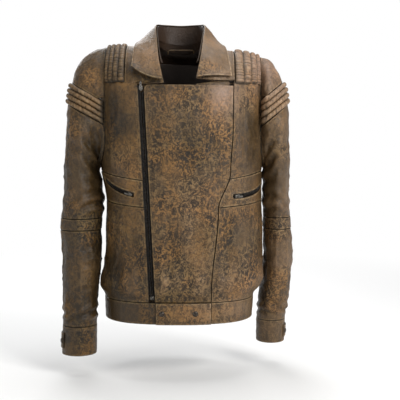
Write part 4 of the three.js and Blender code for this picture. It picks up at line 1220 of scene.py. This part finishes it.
def waist_strips():
    """Seam allowance behind the seam between the body and the waistband."""
    ends = flat(-QUARTER), flat(QUARTER)
    parts = (BACK, *ends), (FRONT, ends[0], by_zip(-ZIP_HALF_WIDTH - 2)), (FRONT, by_fold(2), ends[1])
    for number, (face, left, right) in enumerate(parts, 1):
        u, v = np.meshgrid(spaced(400, 6), np.linspace(0, 1, 8))
        height = mix(WAISTBAND_TOP - 9.0, WAISTBAND_TOP + 16.0, v)
        seam = body(face, mix(left(height), right(height), u), height, -LEATHER - 1.5)
        strip(f"waist_seam_strip_{number}", seam, 1.0, 0.4, 0.2)


def zip_guard():
    """The strip of leather behind the main zip, sewn to the wearer's right front."""
    u, v = np.meshgrid(np.linspace(0, 1, 12), spaced(FLAP_TOP, 5))
    height = mix(WAISTBAND_TOP - 9, FLAP_TOP + 2, v)
    across = mix(zip_angle(height, -ZIP_HALF_WIDTH - 10), zip_angle(height, ZIP_HALF_WIDTH + 12), u)
    slider_room = mix(5.5, 8.5, smooth(140, 90, height))
    strip("zip_guard_strip", body(FRONT, across, height, -CHAIN_DEPTH - slider_room), 1.2, 0.5, 0.3)


def flap_foot_strip():
    """Seam allowance that joins the flap's foot to its piece of waistband."""
    u, v = np.meshgrid(spaced(170, 6), np.linspace(0, 1, 12))
    height = mix(WAISTBAND_TOP - 8, WAISTBAND_TOP + 7, v)
    step = smooth(WAISTBAND_TOP - 0.4, WAISTBAND_TOP + 1.4, height)
    across = mix(zip_angle(height, ZIP_HALF_WIDTH + 1), angle_at(fold_x(height) - 2, height), u)
    strip("flap_foot_strip", body(FRONT, across, height, mix(2.2, -3.3, step)), 0.8, 0.3, 0.2, bend=FLAP_BEND)


# ---- waistband and flap ----
def waist_grid(face, left, right):
    return body_grid(face, left, right, flat(-0.3), flat(WAISTBAND_TOP - 0.4 + 0.3), step=2.6)


def waistband_and_flap():
    seams = [(FOOT, 4.2), (HEAD, 4.2)]
    ends = flat(-QUARTER), flat(QUARTER)
    for name, face, left, right in (("back", BACK, *ends),
                                    ("right", FRONT, ends[0], lambda h: angle_at(UNDERWRAP_END, h)),
                                    ("left", FRONT, by_fold(), ends[1])):
        sheet(f"waistband_{name}", waist_grid(face, left, right), "trim_leather", rows=seams, fold=soft_folds)

    left = lambda h: zip_angle(h, ZIP_HALF_WIDTH) + 0.05 * np.clip((h - 532) / 14, 0, 1) ** 2
    grid = body_grid(FRONT, left, by_fold(-1.0), flat(WAISTBAND_TOP + 1), flat(FLAP_TOP - 3.2), step=2.9)
    sheet("front_flap_panel", grid, bend=FLAP_BEND, fold=body_folds,
          rows=[(LEFT_EDGE, 3.4), (LEFT_EDGE, 7.4), (RIGHT_EDGE, 3.4), (RIGHT_EDGE, 7.2), (HEAD, 3.6)])
    grid = body_grid(FRONT, by_zip(ZIP_HALF_WIDTH + 3), by_fold(-3), flat(WAISTBAND_TOP + 8),
                     flat(FLAP_TOP - 6), step=7)
    sheet("front_flap_facing", grid, "lining", bend=FLAP_BEND, lift=-3.4, thick=1.6, edge=0.5,
          fold=lambda p, near: np.minimum(body_folds(p, near), 0), **PLAIN)
    grid = waist_grid(FRONT, lambda h: angle_at(-54, h), by_fold(-1))
    sheet("waistband_flap", grid, "trim_leather", bend=FLAP_BEND, lift=5.4, thick=2.4, fold=soft_folds,
          rows=[(LEFT_EDGE, 4)] + seams)


# ---- collar ----
def collar():
    t, v = np.meshgrid(spaced(520, STEP), spaced(88, 2.8))
    leaf = between(roll_line, edge_line, 7)(t, mix(0.05, 1.0, v))
    leaf[..., 2] -= 9.0 * 4 * v * (1 - v) * smooth(0.13, 0, t)
    sheet("collar_leaf", leaf, "trim_leather", centre=(0, 0, 560), lift=1.3, thick=2.6, edge=1.6,
          fold=lambda p, near: 1.3 * noise(p, 34, 81) + 0.5 * noise(p, 12, 82), pucker=0.3,
          rows=[(LEFT_EDGE, 5), (RIGHT_EDGE, 5), (HEAD, 5)], wear=(1.3, 1.3, 0.3, 1.3),
          seam=(0.2, 0.2, 0, 0.2))
    t, v = np.meshgrid(spaced(420, STEP), spaced(48, 2.8))
    stand = between(base_line, roll_line, 0)(mix(0.1, 0.9, t), mix(0.0, 0.86, v))
    sheet("collar_stand", stand, "trim_leather", centre=(0, -20, 640), lift=1.0, thick=2.0, fold=soft_folds,
          rows=[(FOOT, 4)])


def hanger():
    """A folded strap whose ends run down into the neck seam."""
    half, thick, leg, bend = 30.0, 2.4, 11.0, 3.0
    _, middle, top = ORIGIN
    left = [(-half, top + thick - leg), (-half, top - 4)]
    left += [(-half + bend * (1 - math.cos(a)), top - 0.6 + bend * math.sin(a))
             for a in np.linspace(0, QUARTER, 6)]
    outline = np.array(left + [(-x, z) for x, z in left[::-1]])
    inner = outline.copy()
    inner[:, 0] += np.sign(outline[:, 0]) * thick * smooth(half - 3.2, half, np.abs(outline[:, 0]))
    inner[:, 1] -= thick * smooth(top - 1, top + thick, outline[:, 1])
    across = np.array([0, 0.6, 2, 4, 6, 7.4, 8.0]) - 4
    outer, under = (np.array([[[x, middle + y, z] for y in across] for x, z in line])
                    for line in (outline, inner))
    worn = np.broadcast_to(hump(4 - np.abs(across), 0.8, 0.8), outer.shape[:2])
    piece = Piece("hanger_loop", "trim_leather")
    piece.add(layers(outer, under), turned(sheet_faces(*outer.shape[:2], False), True), tone=0.5,
              wear=np.tile(worn.ravel(), 2))
    piece.make()


# ---- linings, bags and pads ----
def lining(name, grid):
    sheet(name, grid, "lining", lift=-17, thick=1.5, edge=0.5,
          fold=lambda p, near: 1.8 * noise(p, (26, 26, 90), 91), **PLAIN)


def shoulder_pad(side):
    u, row = np.meshgrid(np.linspace(0, 1, 25), np.linspace(-85, 85, 49))
    grids = []
    for face in (FRONT, BACK):
        height = ridge(face) - np.abs(row)
        angle = angle_at(side["sign"] * mix(92, side["armhole"] - 6, u), height)
        deep = 9 * (1 - (np.abs(row) / 90) ** 2 * 0.8) * (0.3 + 0.7 * u)
        grids.append(np.stack([body(face, angle, height, -4.2), body(face, angle, height, -4.2 - deep)]))
    upper, lower = np.where((row < 0)[..., None], *grids)
    border = np.minimum(np.minimum(u, 1 - u) * 8, np.minimum(row + 85, 85 - row) / 8)
    round_off = (1 - smooth(0, 1, border))[..., None] * 0.35
    upper, lower = mix(upper, lower, round_off), mix(lower, upper, round_off)
    piece = Piece(f"{side['name']}_shoulder_pad", "padding")
    piece.add(layers(upper, lower), turned(sheet_faces(*u.shape, False), side["sign"] > 0), tone=0.5)
    piece.make()


def soft_parts():
    for side, ends in ((RIGHT, (-1.2, -0.62)), (LEFT, (0.62, 1.2))):
        seams = in_order(side, front_seam(side, 4), by_armhole(side, 0.03))
        lining(f"{side['name']}_front_lining", body_grid(FRONT, *seams, flat(60), flat(660), step=6))
        shoulder_pad(side)
        bag = body_grid(FRONT, *map(flat, ends), flat(196), flat(330), step=5)
        sheet(f"{side['name']}_pocket_bag", bag, "lining", lift=-6.4, thick=2, edge=0.8,
              fold=lambda p, near: -0.6 + 0.5 * noise(p, 30, 93), **PLAIN)
    seams = by_armhole(RIGHT, 0.03), by_armhole(LEFT, 0.03)
    lining("back_lining", body_grid(BACK, *seams, flat(60), flat(635), step=6))


# ---- zips, sliders and snaps ----
BOX_FACES = [(0, 1, 3, 2), (4, 6, 7, 5), (0, 4, 5, 1), (2, 3, 7, 6), (0, 2, 6, 4), (1, 5, 7, 3)]


def block(piece, at, x, y, z, taper=0.82):
    """A small tapered block in a path's frame: x along, y out, z across, each a (low, high) pair."""
    point, along, out, across = at
    cx, cz = sum(x) / 2, sum(z) / 2
    corners = np.array([point + along * mix(cx, xx, share) + out * yy + across * mix(cz, zz, share)
                        for yy, share in ((y[0], 1.0), (y[1], taper)) for xx in x for zz in z])
    middle = corners.mean(0)
    faces = []
    for f in BOX_FACES:
        a, b, c = corners[list(f[:3])]
        faces.append(f if np.cross(b - a, c - a) @ (corners[list(f)].mean(0) - middle) > 0 else f[::-1])
    piece.add(corners, faces, wear=0.3)


def tape(piece, path, start, end, across, step=6.0):
    """The woven tape under a row of teeth."""
    frames = [path["at"](d) for d in np.linspace(start, end, max(2, int((end - start) / step)))]
    grid = np.array([[p + a * s - o * 1.25 for s in np.linspace(*across, 4)] for p, _, o, a in frames])
    normal = np.array([f[2] for f in frames])[:, None]
    faces = turned(sheet_faces(*grid.shape[:2], False), looks_in(grid, normal[0, 0], 0, 0))
    piece.add(layers(grid, grid - normal * 0.7), faces, "tape")


def teeth(piece, path, start, end, sign, pitch=3.0):
    shift = 0 if sign > 0 else pitch / 2
    for d in np.arange(start + 1, end - 1, pitch):
        block(piece, path["at"](d + shift), (-0.95, 0.95), (-1.0, 1.0), sorted((sign * 0.6, sign * 4.2)))


def zips():
    end = main_path["length"] - 9
    flap_side = 1 if main_path["at"](0)[3][0] > 0 else -1
    for name, sign, start, rider in (("main_zip_chain_right", -flap_side, -6, "torso"),
                                     ("main_zip_chain_flap", flap_side, 8, "front_flap")):
        piece = Piece(name, "dark_zip_metal", body=rider)
        teeth(piece, main_path, start, end, sign)
        tape(piece, main_path, start, end, sorted((sign * 1.6, sign * 8.6)))
        piece.make()
    piece = Piece("main_zip_box", "dark_zip_metal", finish="slider_metal")
    foot = main_path["at"](main_path["length"] - 4)
    block(piece, foot, (-4, 4), (-1.8, 2.0), (-5, 5), taper=0.88)
    block(piece, foot, (-2.4, 2.4), (2.0, 2.6), (-3, 3), taper=0.7)
    piece.make()
    for side in (RIGHT, LEFT):
        path = side["pocket"]
        piece = Piece(f"{side['name']}_pocket_zip", "dark_zip_metal")
        for sign in (-1, 1):
            teeth(piece, path, -7, path["length"] + 4, sign, pitch=2.8)
            tape(piece, path, -7, path["length"] + 4, sorted((sign * 1.6, sign * 7.2)), 3.0)
        piece.make()
    slider_and_pull("main_zip", "main", main_path, 0, -1)
    for side in (RIGHT, LEFT):
        name = f"{side['name']}_pocket"
        slider_and_pull(name, name, side["pocket"], 2, 1)


def placed(at, outline, out_by):
    """Points given as (along, across) in a path's frame, moved outwards."""
    point, along, out, across = at
    return point + along * outline[:, :1] + across * outline[:, 1:] + out * out_by


def rounded(piece, grid, outward, row):
    """Adds a solid of closed rings, the first and last of which have shrunk to a point."""
    count = grid.shape[1]
    last = (len(grid) - 1) * count
    faces = []
    for r in range(len(grid) - 1):
        for c in range(count):
            a, b = r * count + c, r * count + (c + 1) % count
            corners = (max(0, min(i, last) - count + 1) for i in (a, b, b + count, a + count))
            faces.append(tuple(dict.fromkeys(corners)))
    faces = turned([f for f in faces if len(f) > 2], looks_in(grid, outward, row, 0))
    piece.add(grid.reshape(-1, 3)[count - 1:last + 1], faces, wear=0.4)


def plate(piece, at, outline, low, high, lift=0.0):
    """A plate of the given outline, bevelled on both faces."""
    centre = outline.mean(0)
    rings = (0.0, low), (0.86, low), (1.0, low + 0.25), (1.0, high - 0.3), (0.86, high), (0.0, high + lift)
    grid = np.array([placed(at, centre + (outline - centre) * share, y) for share, y in rings])
    rounded(piece, grid, grid[2, 0] - (at[0] + at[2] * low), 2)


def oval(length, width, count=20, power=0.75):
    angle = np.linspace(0, 2 * np.pi, count, endpoint=False)
    c, s = np.cos(angle), np.sin(angle)
    return np.stack([length / 2 * np.sign(c) * np.abs(c) ** power,
                     width / 2 * np.sign(s) * np.abs(s) ** power], -1)


def slider_and_pull(name, rider, path, distance, turn):
    at = path["at"](distance)
    piece = Piece(f"{name}_slider", "dark_zip_metal", body=f"{rider}_slider", finish="slider_metal")
    for outline, *heights in ((oval(13, 8), 1.45, 2.85, 0.25), (oval(13, 8), -2.85, -1.45),
                              (oval(6, 0.9, 10), -1.6, 1.6), (oval(5, 1.8, 12), 2.7, 4.9, 0.15)):
        plate(piece, at, outline, *heights)
    piece.make()
    point, along, out, _ = at
    along = along * turn
    piece = Piece(f"{name}_pull", "dark_zip_metal", body=f"{rider}_pull", finish="slider_metal")
    pull_fork(piece, (point + out * 3.95, along, out, np.cross(along, out)), 1.1)
    piece.make()


def fork_outline(half, tip):
    """U-shaped line: two straight prongs from the hinge end, and a round end."""
    turn = np.linspace(-QUARTER, QUARTER, 13)
    prong = np.linspace(-0.7, tip - half, 7)[:-1]
    lower = np.stack([prong, np.full(6, -half)], -1)
    bow = np.stack([tip - half + half * np.cos(turn), half * np.sin(turn)], -1)
    return np.vstack([lower, bow, lower[::-1] * [1, -1]])


def pull_fork(piece, at, thick):
    """A flat pull whose two prongs straddle the slider's bridge."""
    outer, inner, half = fork_outline(2.4, 14.0), fork_outline(1.3, 4.4), thick / 2
    near, far = mix(outer, inner, 0.15), mix(outer, inner, 0.85)
    rings = ((outer, 0.2 - half), (outer, half - 0.2), (near, half), (far, half),
             (inner, half - 0.15), (inner, 0.15 - half), (far, -half), (near, -half))
    grid = np.array([placed(at, outline, y) for outline, y in rings])
    rows, count = grid.shape[:2]
    faces = [(r * count + c, r * count + c + 1, (r + 1) % rows * count + c + 1, (r + 1) % rows * count + c)
             for r in range(rows) for c in range(count - 1)]
    faces += [tuple(r * count for r in range(rows)),
              tuple(r * count + count - 1 for r in reversed(range(rows)))]
    outward = grid[0, 8] - (at[0] + at[1] * 8)
    piece.add(grid.reshape(-1, 3), turned(faces, looks_in(grid, outward, 0, 8)), wear=0.4)


def snap(name, rider, centre, out, radius=SNAP_RADIUS, rim=1.7, rise=2.9):
    """A snap cap: a rolled rim round a shallow dome with a small dimple."""
    side = unit(np.cross(out, [0.0, 0.0, 1.0]))
    up = np.cross(side, out)
    outline = ((0.0, 0.0), (0.8, 0.0), (0.97, rim * 0.15), (1.0, rim * 0.45), (0.96, rim * 0.8),
               (0.9, rim * 0.92), (0.84, rim * 0.78), (0.8, rim * 0.84), (0.66, rise * 0.86),
               (0.45, rise * 0.96), (0.22, rise), (0.12, rise * 0.94), (0.0, rise * 0.92))
    grid = np.array([[centre + (side * math.cos(a) + up * math.sin(a)) * r * radius + out * h
                      for a in np.linspace(0, 2 * np.pi, 28, endpoint=False)] for r, h in outline])
    piece = Piece(name, "dark_snap_metal", body=rider)
    rounded(piece, grid, grid[3, 0] - centre, 3)
    piece.make()


def snaps():
    for x, name in ((-40.0, "outer"), (35.0, "inner")):
        here = front_point(x, SNAP_HEIGHT, 0.0)
        ahead = front_point(x + 2, SNAP_HEIGHT, 0.0) - here
        out = unit(np.array([ahead[1], -ahead[0], 0]))
        snap(f"hem_snap_cap_{name}", "front_flap", here + out * 5.7, out)
        snap(f"hem_snap_stud_{name}", "torso", here + out * 0.4, out, 4.5, 0.9, 1.7)
    for side in (RIGHT, LEFT):
        u, at = np.float64(0.425), np.float64(CUFF + 0.52)
        here = sleeve(side, u, at)
        du = sleeve(side, u + 0.01, at) - sleeve(side, u - 0.01, at)
        dv = sleeve(side, u, at + 0.05) - sleeve(side, u, at - 0.05)
        out = unit(np.cross(du, dv))
        middle = np.array([side["sign"] * 240.0, side["stations"][13][5], here[2]])
        out = out if out @ (here - middle) > 0 else -out
        snap(f"{side['name']}_cuff_snap_cap", f"{side['name']}_cuff_tab", here + out * 3.9, out)


# ---- floor, light and camera ----
def studio():
    scene = bpy.context.scene
    scene.view_settings.view_transform = "Standard"
    drop = cad_low.z - 0.05
    bpy.ops.mesh.primitive_circle_add(vertices=96, radius=6, fill_type="NGON", location=(0, 0, drop))
    floor = bpy.context.object
    floor.name = "studio_floor"
    n = Nodes("pale_floor")
    place = n.node("ShaderNodeTexCoord").outputs["Object"]
    far = n.node("ShaderNodeVectorMath", {0: place}, operation="LENGTH").outputs["Value"]
    fade = n.step(far, 0.6, 2.4)
    n.put(n.shader.inputs["Base Color"], (0.86, 0.86, 0.855, 1))
    n.put(n.shader.inputs["Roughness"], 0.9)
    glow = n.node("ShaderNodeEmission", {"Color": (1, 1, 1, 1), "Strength": 1.0})
    both = n.node("ShaderNodeMixShader", {0: fade, 1: n.shader.outputs[0], 2: glow.outputs[0]})
    n.tree.links.new(both.outputs[0], n.tree.nodes["Material Output"].inputs[0])
    floor.data.materials.append(n.material)

    world = bpy.data.worlds.new("studio_world")
    scene.world = world
    world.use_nodes = True
    tree = world.node_tree
    ground = tree.nodes["Background"]
    ground.inputs[0].default_value = (0.95, 0.97, 1.0, 1)
    ground.inputs[1].default_value = 0.34
    seen = tree.nodes.new("ShaderNodeBackground")
    seen.inputs[0].default_value = (1, 1, 1, 1)
    path = tree.nodes.new("ShaderNodeLightPath")
    choose = tree.nodes.new("ShaderNodeMixShader")
    tree.links.new(path.outputs["Is Camera Ray"], choose.inputs[0])
    tree.links.new(ground.outputs[0], choose.inputs[1])
    tree.links.new(seen.outputs[0], choose.inputs[2])
    tree.links.new(choose.outputs[0], tree.nodes["World Output"].inputs[0])

    middle = (cad_low + cad_high) / 2
    for name, where, size, power, colour in (
            ("key", (1.5, -1.9, 0.75), 1.1, 54, (1, 0.985, 0.96)),
            ("fill", (-1.9, -1.5, 0.15), 1.8, 9, (1, 0.95, 0.87)),
            ("top", (0.1, 0.1, 1.6), 1.4, 24, (1, 1, 1)), ("behind", (-0.6, 2.1, 0.6), 1.6, 34, (1, 1, 1))):
        lamp = bpy.data.lights.new(name, "AREA")
        lamp.energy, lamp.size, lamp.color = power, size, colour
        obj = bpy.data.objects.new(name, lamp)
        scene.collection.objects.link(obj)
        obj.location = where
        obj.rotation_euler = (middle - obj.location).to_track_quat("-Z", "Y").to_euler()

    camera = bpy.data.cameras.new("camera")
    camera.sensor_width, camera.lens = 36, 86.5
    obj = bpy.data.objects.new("camera", camera)
    scene.collection.objects.link(obj)
    obj.location = (0.046, -2.35, -0.211)
    aim = middle.copy()
    aim.x, aim.y, aim.z = 0.046, -0.05, -0.359
    obj.rotation_euler = (aim - obj.location).to_track_quat("-Z", "Y").to_euler()
    scene.camera = obj


main_panels()
back_panels()
shoulder_ribs()
sleeves()
armhole_welts()
neck_strips()
waist_strips()
zip_guard()
flap_foot_strip()
waistband_and_flap()
collar()
hanger()
soft_parts()
zips()
snaps()
studio()
